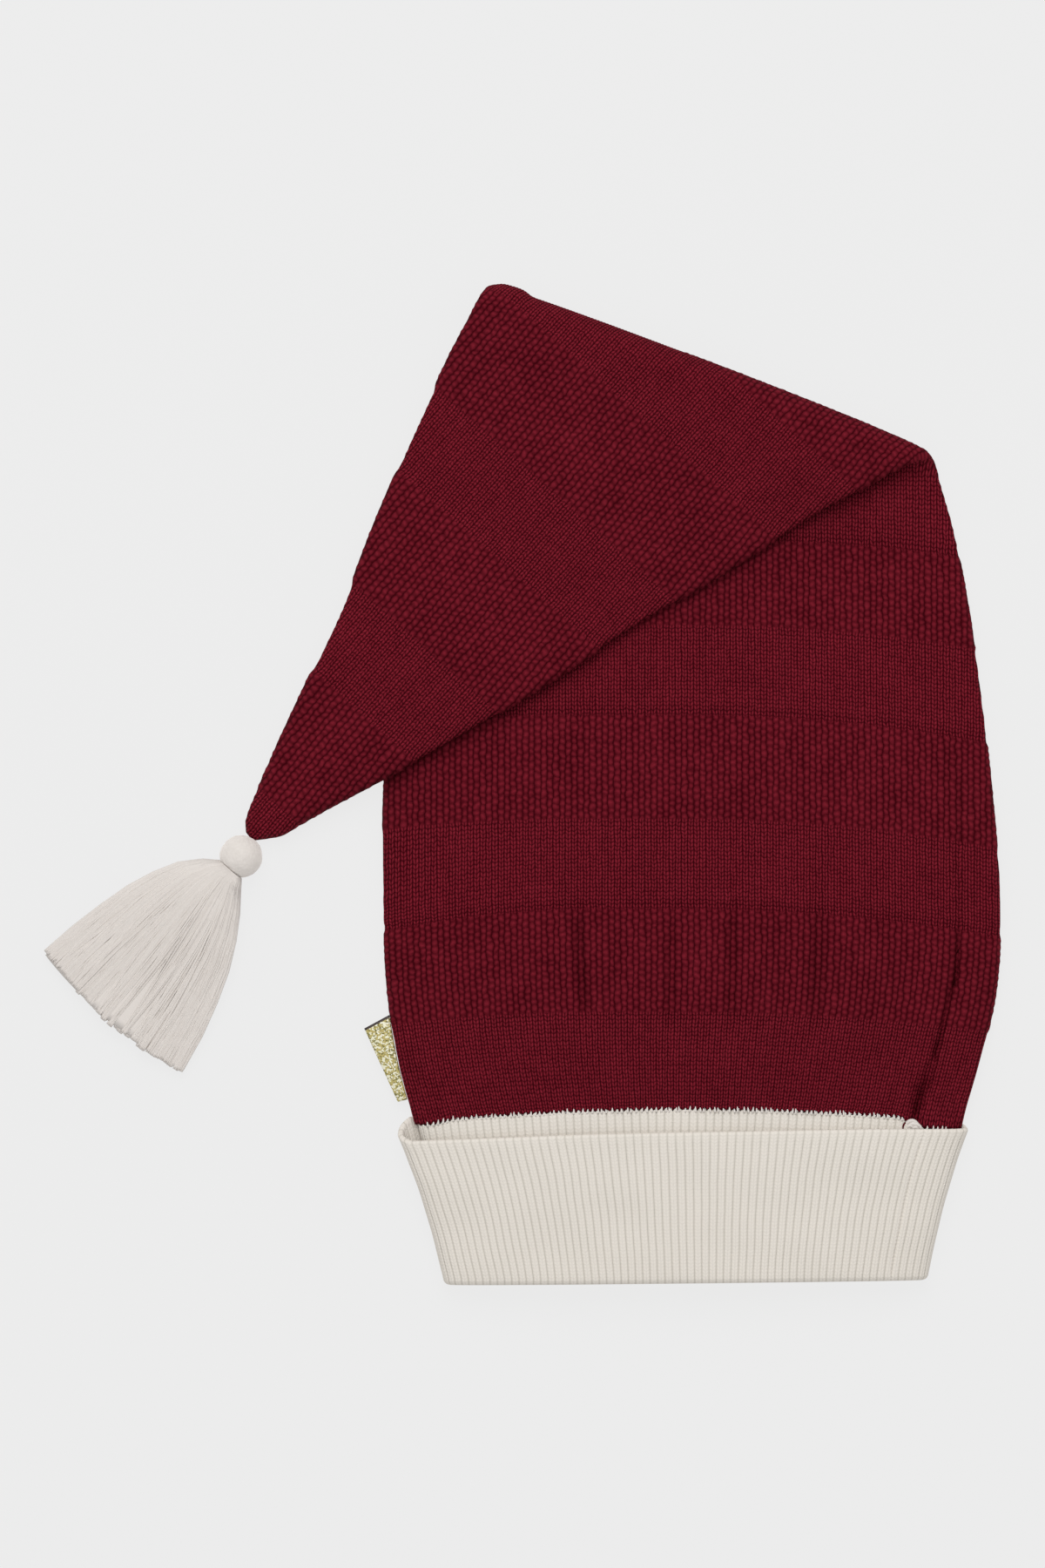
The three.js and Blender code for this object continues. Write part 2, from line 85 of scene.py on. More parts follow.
# Sections of the peak, parallel to the fold, by their distance from the fold's axis
PEAK_COLUMNS = ("reach", "left", "right", "loft")
PEAK_SECTIONS = [
    (0.0, -88.0, 101.0, 10.0),
    (33.0, -91.2, 73.2, 9.8),
    (68.0, -93.6, 47.0, 9.6),
    (103.0, -94.9, 19.5, 9.4),
    (138.0, -95.1, -5.6, 9.2),
    (173.0, -97.8, -33.3, 9.2),
    (203.0, -100.0, -58.6, 9.5),
    (223.0, -101.4, -75.6, 9.5),
    (233.6, -101.4, -83.7, 9.0),
    (238.8, -99.3, -90.9, 7.4),
]
TIP_REACH = 241.2
TIP_ALONG = -95.8

# The knit: stitch sizes, and the heights in the flat pattern at which the bands change, plain first
WALE = 2.52
PLAIN_COURSE = 1.67
SEED_COURSE = 1.4
BAND_EDGES = [-95.0, -52.5, -15.5, 27.5, 64.5, 100.0, 136.0, 181.0, 218.0, 265.0, 301.0, 348.0, 386.0, 437.0]
PATTERN_TOP = 480.0
PATTERN_SPAN = (-80.0, 210.0)  # from left to right, with room to spare
COLUMNS_PER_WALE = 4
BEND_FRONT = 6.0  # length of the front wall in the fold
BEND_BACK = 31.4  # length of the back wall in the fold

ALONG = np.array([math.cos(FOLD_ANGLE), math.sin(FOLD_ANGLE)])
BEYOND = np.array([-ALONG[1], ALONG[0]])

ball_low, ball_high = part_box("tassel_ball")
SHIFT = np.array((ball_low + ball_high) / 2) * 1000 - BALL_CENTRE


# Small helpers

HALVINGS = 24
LEAST_LENGTH = 1e-9
WAVE_COUNT = 7
WAVE_SPREAD = (0.7, 1.5)


def lerp(a, b, share):
    return a + (b - a) * share


def smoothstep(value, low, high):
    share = np.clip((value - low) / (high - low), 0, 1)
    return share * share * (3 - 2 * share)


def bell(offset, half, power=2):
    return np.exp(-((offset / half) ** power))


def fall(value, start, end):
    """1 before the start and 0 past the end, with a soft slope between them."""
    return 0.5 + 0.5 * np.cos(math.pi * np.clip((value - start) / (end - start), 0, 1))


def even(count):
    return np.arange(count) / count


def unit(vectors):
    return vectors / np.maximum(np.linalg.norm(vectors, axis=-1, keepdims=True), LEAST_LENGTH)


def search(low, high, beyond):
    """Values between low and high up to which a test holds, found by halving."""
    for _ in range(HALVINGS):
        middle = (low + high) / 2
        further = beyond(middle)
        low = np.where(further, middle, low)
        high = np.where(further, high, middle)
    return (low + high) / 2


def through(rows, shares):
    """Points at shares from 0 to 1 along the smooth curve through evenly spaced rows."""
    rows = np.asarray(rows, float)
    padded = np.vstack([2 * rows[0] - rows[1], rows, 2 * rows[-1] - rows[-2]])
    place = np.clip(shares, 0, 1) * (len(rows) - 1)
    first = np.minimum(place.astype(int), len(rows) - 2)
    w = (place - first)[:, None]
    a, b, c, d = (padded[first + k] for k in range(4))
    bend = (2 * a - 5 * b + 4 * c - d) * w**2 + (3 * b - a - 3 * c + d) * w**3
    return 0.5 * (2 * b + (c - a) * w + bend)


def waves(x, y, length, seed):
    """Gentle unevenness of about that wavelength, from about -1 to 1."""
    rng = np.random.default_rng(seed)
    total = np.zeros_like(x)
    for _ in range(WAVE_COUNT):
        heading = rng.uniform(0, 2 * math.pi)
        pitch = 2 * math.pi / (length * rng.uniform(*WAVE_SPREAD))
        phase = rng.uniform(0, 2 * math.pi)
        total += np.sin(pitch * (x * math.cos(heading) + y * math.sin(heading)) + phase)
    return total / math.sqrt(WAVE_COUNT)


def vertex_normals(points, triangles):
    a, b, c = (points[triangles[:, k]] for k in range(3))
    facing = np.cross(b - a, c - a)
    normals = np.zeros_like(points)
    for k in range(3):
        np.add.at(normals, triangles[:, k], facing)
    return unit(normals)


def grid_quads(number):
    """Faces between neighbours in a grid of vertex numbers, or in each of several grids."""
    low, high = number[..., :-1, :], number[..., 1:, :]
    return np.stack([low[..., :-1], high[..., :-1], high[..., 1:], low[..., 1:]], -1).reshape(-1, 4)


def capped_rings(points):
    """Points and triangles of closed bodies, each through rings of points and with a point at each end."""
    count, rings, sides, _ = points.shape
    number = np.arange(count * rings * sides).reshape(count, rings, sides)
    after = np.roll(number, -1, axis=2)
    quads = grid_quads(np.concatenate([number, number[:, :, :1]], 2))
    tip = np.broadcast_to(number.size + np.arange(count)[:, None], (count, sides))
    first = np.stack([number[:, 0], after[:, 0], tip], -1)
    last = np.stack([after[:, -1], number[:, -1], tip + count], -1)
    tips = np.concatenate([points[:, 0].mean(1), points[:, -1].mean(1)])
    triangles = [quads[:, :3], quads[:, [0, 2, 3]], first.reshape(-1, 3), last.reshape(-1, 3)]
    return np.vstack([points.reshape(-1, 3), tips]), np.vstack(triangles)


def mesh_object(name, points, faces, corner_uv=None, attributes=None):
    """A smooth mesh object from points in the lying frame. All faces have as many corners."""
    faces = np.asarray(faces, np.int32)
    mesh = bpy.data.meshes.new(name)
    mesh.vertices.add(len(points))
    mesh.vertices.foreach_set("co", ((points + SHIFT) / 1000).astype(np.float32).ravel())
    mesh.loops.add(faces.size)
    mesh.loops.foreach_set("vertex_index", faces.ravel())
    mesh.polygons.add(len(faces))
    mesh.polygons.foreach_set("loop_start", np.arange(0, faces.size, faces.shape[1], dtype=np.int32))
    mesh.update(calc_edges=True)
    mesh.polygons.foreach_set("use_smooth", np.ones(len(faces), bool))
    if corner_uv is not None:
        mesh.uv_layers.new(name="knit").data.foreach_set("uv", corner_uv.astype(np.float32).ravel())
    for key, values in (attributes or {}).items():
        mesh.attributes.new(key, "FLOAT", "POINT").data.foreach_set("value", values.astype(np.float32))
    mesh.validate()
    piece = bpy.data.objects.new(name, mesh)
    bpy.context.scene.collection.objects.link(piece)
    return piece


def dress(piece, material, node=None):
    """Gives a piece its material and body, and hides the solid that it stands for, if there is one."""
    piece.data.materials.append(material)
    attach(piece, "root")
    if node:
        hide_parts(node)
    return piece


# Flattened closed sections, as the solids have them

EDGE_SHARE = 0.25
EDGE_LEAST = 0.8
FLAT_SHARE = 0.7
CROWN_POWER = 2.2
NORMAL_STEP = 0.01  # angle to each side of a point over which its normal is taken


def crown_hollow(width, loft):
    """Half width, floor, edge and top of the crown's hollow in sections of a width and height."""
    edge = np.maximum(CROWN_WALL + EDGE_LEAST, EDGE_SHARE * loft)
    return width / 2 - CROWN_WALL, CROWN_WALL, edge, loft - CROWN_WALL


def hollow_height(angle, hollow):
    _, floor, edge, top = hollow
    across = np.abs(np.cos(angle))
    upper = edge + (top - edge) * np.sqrt(np.maximum(0, 1 - across**CROWN_POWER))
    curl = np.maximum(0, (across - FLAT_SHARE) / (1 - FLAT_SHARE))
    lower = edge + (floor - edge) * np.sqrt(np.maximum(0, 1 - curl**2))
    return np.where(np.sin(angle) >= 0, upper, lower)


def section_point(angle, hollow, outward):
    """Place across and height of a section's points, moved out of the hollow along their normals."""
    half = hollow[0]
    before, after = angle - NORMAL_STEP, angle + NORMAL_STEP
    run_x = half * (np.cos(after) - np.cos(before))
    run_z = hollow_height(after, hollow) - hollow_height(before, hollow)
    length = np.hypot(run_x, run_z)
    x = half * np.cos(angle) + outward * run_z / length
    return x, hollow_height(angle, hollow) - outward * run_x / length


def section_angle(x, hollow, outward, upper):
    """Angle of the point of a section's upper or lower wall at a place across it."""
    side = 1 if upper else -1

    def wider(angle):
        return section_point(side * angle, hollow, outward)[0] > np.abs(x)

    return side * search(np.zeros_like(x), np.full_like(x, math.pi / 2), wider)


def section_height(x, hollow, outward, upper):
    return section_point(section_angle(x, hollow, outward, upper), hollow, outward)[1]


# Where the crown's walls lie

STATIONS = np.linspace(0, 1, 801)
BODY = dict(zip(BODY_COLUMNS, through(BODY_SECTIONS, STATIONS).T))
PEAK = dict(zip(PEAK_COLUMNS, through(PEAK_SECTIONS, STATIONS).T))
FOLD_LOFT = BODY["loft"][-1]
BODY_SIDES = [np.column_stack([BODY[name + "_x"], BODY[name + "_y"]]) for name in ("left", "right")]
RIM_LEFT, RIM_RIGHT = (side[0, 0] for side in BODY_SIDES)


def sides_at(sides, y):
    """Places of a left and a right side at heights."""
    return [np.interp(y, side[:, 1], side[:, 0]) for side in sides]


def body_at(t):
    return [np.interp(t, STATIONS, BODY[column]) for column in BODY_COLUMNS]


def peak_at(reach):
    return [np.interp(reach, PEAK["reach"], PEAK[column]) for column in PEAK_COLUMNS[1:]]


def locate(x, y):
    """Station, place across from -1 to 1, chord, height and lift of the body at points in plan."""

    def above(t):
        left_x, left_y, right_x, right_y, _, _ = body_at(t)
        return (right_x - left_x) * (y - left_y) > (right_y - left_y) * (x - left_x)

    t = search(np.zeros_like(x), np.ones_like(x), above)
    left_x, left_y, right_x, right_y, loft, lift = body_at(t)
    run_x = right_x - left_x
    run_y = right_y - left_y
    chord = np.hypot(run_x, run_y)
    across = 2 * ((x - left_x) * run_x + (y - left_y) * run_y) / chord**2 - 1
    return t, across, chord, loft, np.maximum(0, lift)


# The side seam's crease on the front, from its top to the rim
SEAM = [
    (187.0, 92.0), (184.7, 49.3), (181.2, -2.0), (180.6, -57.0), (179.5, -80.0), (175.0, -98.3),
    (168.0, -121.7), (163.0, -133.0), (161.0, -142.0),
]
SEAM_DEPTH = 5.0
SEAM_LEFT = 4.5  # widths of its gentle left side and its steep right side
SEAM_RIGHT = 1.0
SEAM_ROLL = 0.8  # height of the roll beside it
ROLL_PLACE = 7.0
ROLL_HALF = 4.5
SEAM_UPPER = 0.3  # share of the crease that there is in its upper part
SEAM_START = (-15, 10)  # distances below the origin between which that begins
SEAM_FULL = (45, 95)  # and between which the rest is added
SEAM_FOOT = (110, 126)  # and between which it widens to its foot
FOOT_END = (130, 137)  # and between which most of that closes again, at the rim
FOOT_CLOSING = 0.85
FOOT_WIDENING = 0.9
FOOT_DEEPENING = 0.6

# Dents that the cuff's gathering leaves in the seed bands
GATHER_COLUMNS = ("x", "lean", "top", "bottom", "half_width", "depth")
GATHERS = [
    (-31.3, 0.0, -96.0, -140.0, 4.0, 0.9),
    (22.5, -0.06, -49.0, -106.0, 4.0, 3.6),
    (-6.0, 0.05, -50.0, -110.0, 6.0, 0.9),
    (38.0, 0.02, -50.0, -118.0, 5.0, 0.9),
    (62.4, 0.03, -48.0, -112.0, 4.5, 2.4),
    (86.6, 0.0, -46.0, -112.0, 4.2, 2.6),
    (104.0, -0.03, -46.0, -116.0, 5.0, 1.0),
    (122.5, 0.03, -46.0, -112.0, 5.0, 3.2),
    (150.0, -0.1, -52.0, -112.0, 5.5, 1.0),
    (22.0, 0.0, 24.0, -18.0, 5.0, 0.9),
    (66.0, 0.02, 26.0, -14.0, 6.0, 0.8),
    (111.0, 0.0, 20.0, -20.0, 6.0, 0.9),
]
GATHER_BELL = 0.55  # width of a dent's bell curve, as a share of its half width
GATHER_FADE = 16.0
FRONT_UNEVEN = 0.35
RELIEF_SIDES = 0.06  # share of the width over which the relief begins at the sides
RELIEF_TOP = (0.02, 0.15)  # shares of the body's length, from the fold, over which it begins there


def front_relief(x, y):
    """Height that the seam, the gathers and soft unevenness add to the body's front wall."""
    below = -y
    seam_x, seam_y = np.transpose(SEAM)
    from_seam = x - np.interp(below, -seam_y, seam_x)
    present = SEAM_UPPER * smoothstep(below, *SEAM_START) + (1 - SEAM_UPPER) * smoothstep(below, *SEAM_FULL)
    foot = smoothstep(below, *SEAM_FOOT) * (1 - FOOT_CLOSING * smoothstep(below, *FOOT_END))
    gentle = np.clip(1 + from_seam / (SEAM_LEFT * (1 + FOOT_WIDENING * foot)), 0, 1) ** 2
    groove = np.where(from_seam < 0, gentle, np.clip(1 - from_seam / SEAM_RIGHT, 0, 1))
    roll = SEAM_ROLL * bell(from_seam - ROLL_PLACE, ROLL_HALF)
    relief = present * (roll - SEAM_DEPTH * (1 + FOOT_DEEPENING * foot) * groove)
    for gather in GATHERS:
        g = dict(zip(GATHER_COLUMNS, gather))
        middle = g["x"] + g["lean"] * (y - g["top"])
        beside = bell(x - middle, GATHER_BELL * g["half_width"])
        length = smoothstep(g["top"] - y, 0, GATHER_FADE) * smoothstep(y - g["bottom"], 0, GATHER_FADE)
        relief -= g["depth"] * beside * length
    return relief + FRONT_UNEVEN * waves(x, y, length=46, seed=3)


def place_body(x, y, front, outward):
    t, across, chord, loft, lift = locate(x, y)
    z = lift + section_height(across * chord / 2, crown_hollow(chord, loft), outward, front)
    bow = RIM_BOW * np.maximum(0, 1 - t / BOW_END) * across**2
    if front:
        inside = smoothstep(1 - np.abs(across), 0, RELIEF_SIDES) * smoothstep(1 - t, *RELIEF_TOP)
        z = z + inside * front_relief(x, y)
    return np.stack([x, y - bow, z], 1)


def in_plan(along, beyond):
    return along[:, None] * ALONG + beyond[:, None] * BEYOND


# Where the side seam's end stands up in the fold
KNOB_ALONG = -76.4
KNOB_HALF = 7.2
KNOB_HEIGHT = 1.8


def place_bend(along, share, front, outward):
    left, right = (
        lerp(ALONG @ side[-1], PEAK[name][0], share) for side, name in zip(BODY_SIDES, PEAK_COLUMNS[1:])
    )
    hollow = crown_hollow(right - left, FOLD_LOFT)
    x = along - (left + right) / 2
    lying = section_height(x, hollow, outward, front)
    folded = FOLD_LOFT - section_height(x, hollow, outward, not front)
    knob = KNOB_HEIGHT * bell(along - KNOB_ALONG, KNOB_HALF, power=4) * np.sin(math.pi * share)
    radius = FOLD_HEIGHT - lerp(lying, folded, share) + (0 if front else knob)
    plan = in_plan(along, FOLD_REACH + radius * np.sin(math.pi * share))
    return np.column_stack([plan, FOLD_HEIGHT - radius * np.cos(math.pi * share)])


# How the peak comes down from the fold and past the body's sides
PEAK_CLEARANCE = 1.2
SETTLE = 45.0
FALL_LEFT = (-0.62, -1.45)  # in half widths of the body from its middle
FALL_RIGHT = (0.55, 1.7)
PEAK_UNEVEN = 0.4
UNEVEN_SIDES = 0.15  # share of the half width over which its unevenness begins at the sides
UNEVEN_START = 30.0

# How far the seed bands bulge at the peak's sides, and where that begins and ends
EDGE_SWELL = 0.8
SWELL_SOFT = 4.0
SWELL_MEAN = 0.35
SWELL_SIDES = (0.75, 1.0)
SWELL_START = (5, 25)
SWELL_END = (20, 50)

# Where the peak stands off the body beside the fold's right end
ARCH_ALONG = 66.0
ARCH_HALF = 26.0
ARCH_REACH = (12.0, 42.0)
ARCH_HEIGHT = 2.6


def place_peak(along, reach, y, front, outward):
    left, right, loft = peak_at(reach)
    x = along - (left + right) / 2
    aside = np.abs(2 * x / (right - left))
    height = section_height(x, crown_hollow(right - left, loft), outward, not front)
    ends = smoothstep(reach, *SWELL_START) * smoothstep(TIP_REACH - reach, *SWELL_END)
    swell = EDGE_SWELL * (seed_swell(y, SWELL_SOFT) - SWELL_MEAN) * smoothstep(aside, *SWELL_SIDES) * ends
    plan = in_plan(along + np.sign(x) * swell, FOLD_REACH - reach)
    _, across, _, body_loft, _ = locate(plan[:, 0], plan[:, 1])
    settled = PEAK_CLEARANCE + body_loft * fall(across, *FALL_LEFT) * fall(across, *FALL_RIGHT)
    arch = ARCH_HEIGHT * bell(along - ARCH_ALONG, ARCH_HALF) * fall(reach, *ARCH_REACH)
    floor = lerp(2 * FOLD_HEIGHT - FOLD_LOFT, settled, smoothstep(reach, 0, SETTLE)) + arch
    if not front:
        inside = smoothstep(1 - aside, 0, UNEVEN_SIDES) * smoothstep(reach, 0, UNEVEN_START)
        height = height + PEAK_UNEVEN * inside * waves(plan[:, 0], plan[:, 1], length=40, seed=5)
    return np.column_stack([plan, floor + height])


def place_wall(pattern, front, outward):
    """Points of the crown's front or back wall for points of its flat pattern."""
    along = pattern @ ALONG
    past = pattern @ BEYOND - FOLD_REACH
    bend = BEND_FRONT if front else BEND_BACK
    body = past <= 0
    peak = past >= bend
    turn = ~body & ~peak
    points = np.empty((len(pattern), 3))
    points[body] = place_body(*pattern[body].T, front, outward)
    points[turn] = place_bend(along[turn], past[turn] / bend, front, outward)
    back_y = pattern[peak, 1] + (BEND_BACK - bend) * BEYOND[1]
    points[peak] = place_peak(along[peak], past[peak] - bend, back_y, front, outward)
    return points


# The knit's lattice

SEED_BANDS = np.arange(len(BAND_EDGES) + 1) % 2 == 1
PATTERN_EDGES = np.array([RIM_Y, *BAND_EDGES, PATTERN_TOP])
BAND_COURSES = [
    2 * round((b - a) / (SEED_COURSE if seed else PLAIN_COURSE) / 2)
    for a, b, seed in zip(PATTERN_EDGES, PATTERN_EDGES[1:], SEED_BANDS)
]
COURSES_BELOW = np.concatenate([[0], np.cumsum(BAND_COURSES)])
COURSE_Y = np.interp(np.arange(COURSES_BELOW[-1]) + 0.5, COURSES_BELOW, PATTERN_EDGES)
WALE_OFFSET = 40  # keeps the wale numbers above zero

WIDEST_Y = -50.0
WIDEST_LEFT, WIDEST_RIGHT = sides_at(BODY_SIDES, WIDEST_Y)
WIDEST_MIDDLE = (WIDEST_LEFT + WIDEST_RIGHT) / 2


def wale_spread(y):
    """Middle and share of the full width of the wales, which the cuff draws together at the bottom."""
    left, right = sides_at(BODY_SIDES, y)
    drawn = y < WIDEST_Y
    middle = np.where(drawn, (left + right) / 2, WIDEST_MIDDLE)
    share = np.where(drawn, (right - left) / (WIDEST_RIGHT - WIDEST_LEFT), 1)
    return middle, share


# How far the courses sink at the sides, which the cuff draws in
DROOP_COLUMNS = ("y", "left", "right")
DROOPS = [
    (RIM_Y, 0.0, 0.0),
    (-95.0, 5.0, 8.5),
    (-50.0, 11.0, 12.5),
    (-15.0, 3.5, 12.0),
    (27.0, 2.0, 12.5),
    (90.0, 0.0, 10.0),
    (130.0, 0.0, 0.0),
]
DROOP = dict(zip(DROOP_COLUMNS, np.transpose(DROOPS)))
DROOP_POWER = 2.2
DROOP_MOST = 1.2
LEFT_DROOP = (35.0, 92.0)  # where it begins and how far it reaches
RIGHT_DROOP = (60.0, 135.0)


def droop(x, y):
    near_left = np.clip((LEFT_DROOP[0] - x) / LEFT_DROOP[1], 0, DROOP_MOST) ** DROOP_POWER
    near_right = np.clip((x - RIGHT_DROOP[0]) / RIGHT_DROOP[1], 0, DROOP_MOST) ** DROOP_POWER
    left = np.interp(y, DROOP["y"], DROOP["left"])
    right = np.interp(y, DROOP["y"], DROOP["right"])
    return left * near_left + right * near_right


def seed_share(course):
    """1 in the seed-stitch bands and 0 in the plain ones."""
    band = np.searchsorted(COURSES_BELOW, course, side="right") - 1
    return SEED_BANDS[np.clip(band, 0, len(SEED_BANDS) - 1)].astype(float)


BAND_SOFT = 1.2


def seed_swell(y, soft=BAND_SOFT):
    """How much of the seed bands' greater thickness there is at a height in the pattern."""
    swell = np.zeros_like(y)
    for low, high in zip(BAND_EDGES[0::2], BAND_EDGES[1::2]):
        swell += smoothstep(y, low - soft, low + soft) * smoothstep(-y, -high - soft, -high + soft)
    return swell


# How the plain knit is drawn in just above the seed bands below the fold, and where painted shade darkens
# that groove
DRAWN_TOPS = BAND_EDGES[1:6:2]
GROOVE_DEPTH = 0.55
GROOVE_RISE = 1.4
GROOVE_HALF = 1.5


def band_groove(y):
    """How much the plain knit is drawn in at a height in the pattern, from 0 to 1."""
    return sum(bell(y - top - GROOVE_RISE, GROOVE_HALF) for top in DRAWN_TOPS)


# Unevenness of the stitches, in wales and courses, in the plain and the seed bands
WALE_JITTER = (0.05, 0.1)
COURSE_JITTER = (0.15, 0.3)


def knit_coordinates(pattern):
    """Wale and course numbers of points of the flat pattern, a little uneven as knitting is."""
    x, y = pattern.T
    middle, share = wale_spread(y)
    level = y + droop(x, y)
    loose = seed_swell(level)
    wale = (WIDEST_MIDDLE + (x - middle) / share) / WALE + WALE_OFFSET
    wale += lerp(*WALE_JITTER, loose) * waves(x, y, length=5.5, seed=51)
    course = np.interp(level, PATTERN_EDGES, COURSES_BELOW)
    course += lerp(*COURSE_JITTER, loose) * waves(x, y, length=5, seed=52)
    return np.column_stack([wale, course])


# Heights of the stitches
LEG_RELIEF = 0.13
SEED_RELIEF = 0.31
SEED_SWELL = 0.3
RIDGE_POWER = 0.6
RIDGE_LEAST = 0.15
BUMP_TOPS = (0.7, 1.2)
BUMP_MEAN = 0.3
HASH = (12.9898, 78.233, 43758.5453)  # any large uneven numbers do


def stitch_chance(wale, course):
    """A share from 0 to 1 that is fixed for each stitch."""
    return (np.sin(HASH[0] * np.floor(wale) + HASH[1] * np.floor(course)) * HASH[2]) % 1


def stitch_relief(pattern, knit):
    """Height of the stitches on the outside: legs in the plain bands, bumps and hollows in the seed ones."""
    wale, course = knit.T
    legs = -LEG_RELIEF * np.cos(4 * math.pi * wale)
    ridge = np.sin(math.pi * (wale % 1)) ** RIDGE_POWER
    along = 0.5 + 0.5 * np.cos(math.pi * (course - 0.5 - np.floor(wale)))
    tall = lerp(*BUMP_TOPS, stitch_chance(wale, (course + 0.5 - np.floor(wale)) / 2))
    bumps = SEED_RELIEF * (ridge * lerp(RIDGE_LEAST, tall, along) - BUMP_MEAN)
    x, y = pattern.T
    level = y + droop(x, y)
    bands = SEED_SWELL * seed_swell(level) - GROOVE_DEPTH * band_groove(level)
    return lerp(legs, bumps, seed_share(course)) + bands


# Where the lattice is full, and where only a few of its points are kept
SIDE_MARGIN = 2.0
RIM_MARGIN = 0.5
COVER_MARGINS = (6.0, 8.0)  # how far inside the peak's sides the wall below it is out of sight
COVER_REACH = 236.0
BEND_HIDDEN = 0.3  # share of the bend's back wall that is out of sight
SPARSE_COLUMNS = 9
SPARSE_ROWS = 4
DROOP_ROUNDS = 4


def lattice_points(front, ends):
    """Points of the flat pattern at the stitches where a wall shows, and a few where it is hidden."""
    first, last = (place * COLUMNS_PER_WALE / WALE for place in PATTERN_SPAN)
    columns = np.arange(math.floor(first), math.ceil(last))
    column, row = np.meshgrid(columns, np.arange(len(COURSE_Y)))
    level = COURSE_Y[row]
    middle, share = wale_spread(level)
    x = middle + (column * WALE / COLUMNS_PER_WALE - WIDEST_MIDDLE) * share
    y = level
    for _ in range(DROOP_ROUNDS):
        y = level - droop(x, y)
    left, right = sides_at(ends, y)
    inside = (x > left + SIDE_MARGIN) & (x < right - SIDE_MARGIN) & (y > RIM_Y + RIM_MARGIN)
    along = x * ALONG[0] + y * ALONG[1]
    past = x * BEYOND[0] + y * BEYOND[1] - FOLD_REACH
    if front:
        peak_left, peak_right, _ = peak_at(-past)
        covered = (along > peak_left + COVER_MARGINS[0]) & (along < peak_right - COVER_MARGINS[1])
        shown = (past < 0) & ~(covered & (-past < COVER_REACH))
    else:
        shown = past > BEND_HIDDEN * BEND_BACK
    sparse = (column % SPARSE_COLUMNS == 0) & (row % SPARSE_ROWS == 0)
    keep = inside & (shown | sparse)
    return np.column_stack([x[keep], y[keep]]), shown[keep].astype(float)


# The crown's mesh

BEND_STEPS = 14
FILL_RING = 1  # tells the triangulation to keep only what lies inside the ring
MERGE_BELOW = 1e-6
BODY_ROOM = (0.3, 0.5)  # least distances of an edge's rows from the ends of the body
PEAK_ROOM = 0.6  # and from the fold's end of the peak
INNER_TIP_ROOM = 4.0  # and from its tip, on the inside


def side_edge(side, inset, rows):
    """One side edge from above the rim to the peak's end: pattern points of the body, and the places
    along the fold, shares of the bend and reaches of the rest."""
    left = side < 0
    ends = BODY_SIDES[0 if left else 1] - side * inset * unit(BODY_SIDES[1] - BODY_SIDES[0])
    body_rows = rows[(rows > ends[0, 1] + BODY_ROOM[0]) & (rows < ends[-1, 1] - BODY_ROOM[1])]
    body = np.column_stack([np.interp(body_rows, ends[:, 1], ends[:, 0]), body_rows])
    peak_ends = PEAK["left" if left else "right"] - side * inset
    shares = np.linspace(0, 1, BEND_STEPS + 1)
    bend = lerp(ALONG @ ends[-1], peak_ends[0], shares)
    peak_y = peak_ends * ALONG[1] + (FOLD_REACH + BEND_BACK + PEAK["reach"]) * BEYOND[1]
    tip_room = INNER_TIP_ROOM if inset else 0
    peak_rows = rows[(rows > peak_y[0] + PEAK_ROOM) & (rows < peak_y[-1] - tip_room)]
    reach = np.interp(peak_rows, peak_y, PEAK["reach"])
    peak = np.interp(reach, PEAK["reach"], peak_ends)
    fold = np.column_stack([
        np.concatenate([bend, peak]),
        np.concatenate([shares, np.ones(len(reach))]),
        np.concatenate([np.zeros(len(shares)), reach]),
    ])
    return np.vstack([ends[0], body]), fold


def edge_pattern(edge, bend):
    body, fold = edge
    along, share, reach = fold.T
    return np.vstack([body, in_plan(along, FOLD_REACH + share * bend + reach)])


def triangulate(ring, inside):
    """Triangles that fill a ring of points in the plane, through all the points inside it."""
    points = [Vector(p) for p in np.concatenate([ring, inside]).tolist()]
    borders = [(i, (i + 1) % len(ring)) for i in range(len(ring))]
    _, _, faces, origins, _, _ = delaunay_2d_cdt(points, borders, [], FILL_RING, MERGE_BELOW)
    return np.array([o[0] for o in origins])[np.array(faces)]


# The joint of crown and cuff: a drop at the left and one past the seam, and small uneven teeth
LEFT_DROP = 1.3
LEFT_DROP_X = (-40, -26)
RIGHT_DROP = 3.6
RIGHT_DROP_X = (155, 163)
TOOTH = 0.55
TOOTH_PITCH = 2.0
TOOTH_HEIGHTS = (0.3, 1.5)
TEETH = 257  # after which their heights repeat
RIM_FADE = 9.0  # how far the rim's unevenness reaches into crown and cuff
RIM_INSET = 1.0


def rim_line(x):
    """Height of the joint of crown and cuff above its plain curve."""
    return LEFT_DROP * smoothstep(x, *LEFT_DROP_X) - RIGHT_DROP * smoothstep(x, *RIGHT_DROP_X)


def rim_shift(x):
    """The same with the teeth."""
    tooth = x / TOOTH_PITCH
    heights = np.random.default_rng(seed=31).uniform(*TOOTH_HEIGHTS, TEETH)
    tall = heights[np.floor(tooth).astype(int) % TEETH]
    return rim_line(x) + TOOTH * tall * (1 - 4 * np.abs(tooth % 1 - 0.5))


def rim_near(distance):
    """How much of the rim's unevenness there is at a distance from it, from 1 to 0."""
    return np.maximum(0, 1 - distance / RIM_FADE) ** 2


def rim_place(rim_x, front, outward):
    """Where points of the outer rim lie across the inner one, at the same angles round the section."""
    if outward:
        return rim_x
    hollow = crown_hollow(RIM_RIGHT - RIM_LEFT, BODY["loft"][0])
    middle = (RIM_LEFT + RIM_RIGHT) / 2
    angle = section_angle(rim_x - middle, hollow, CROWN_WALL, front)
    return middle + np.sign(rim_x - middle) * hollow[0] * np.cos(angle)


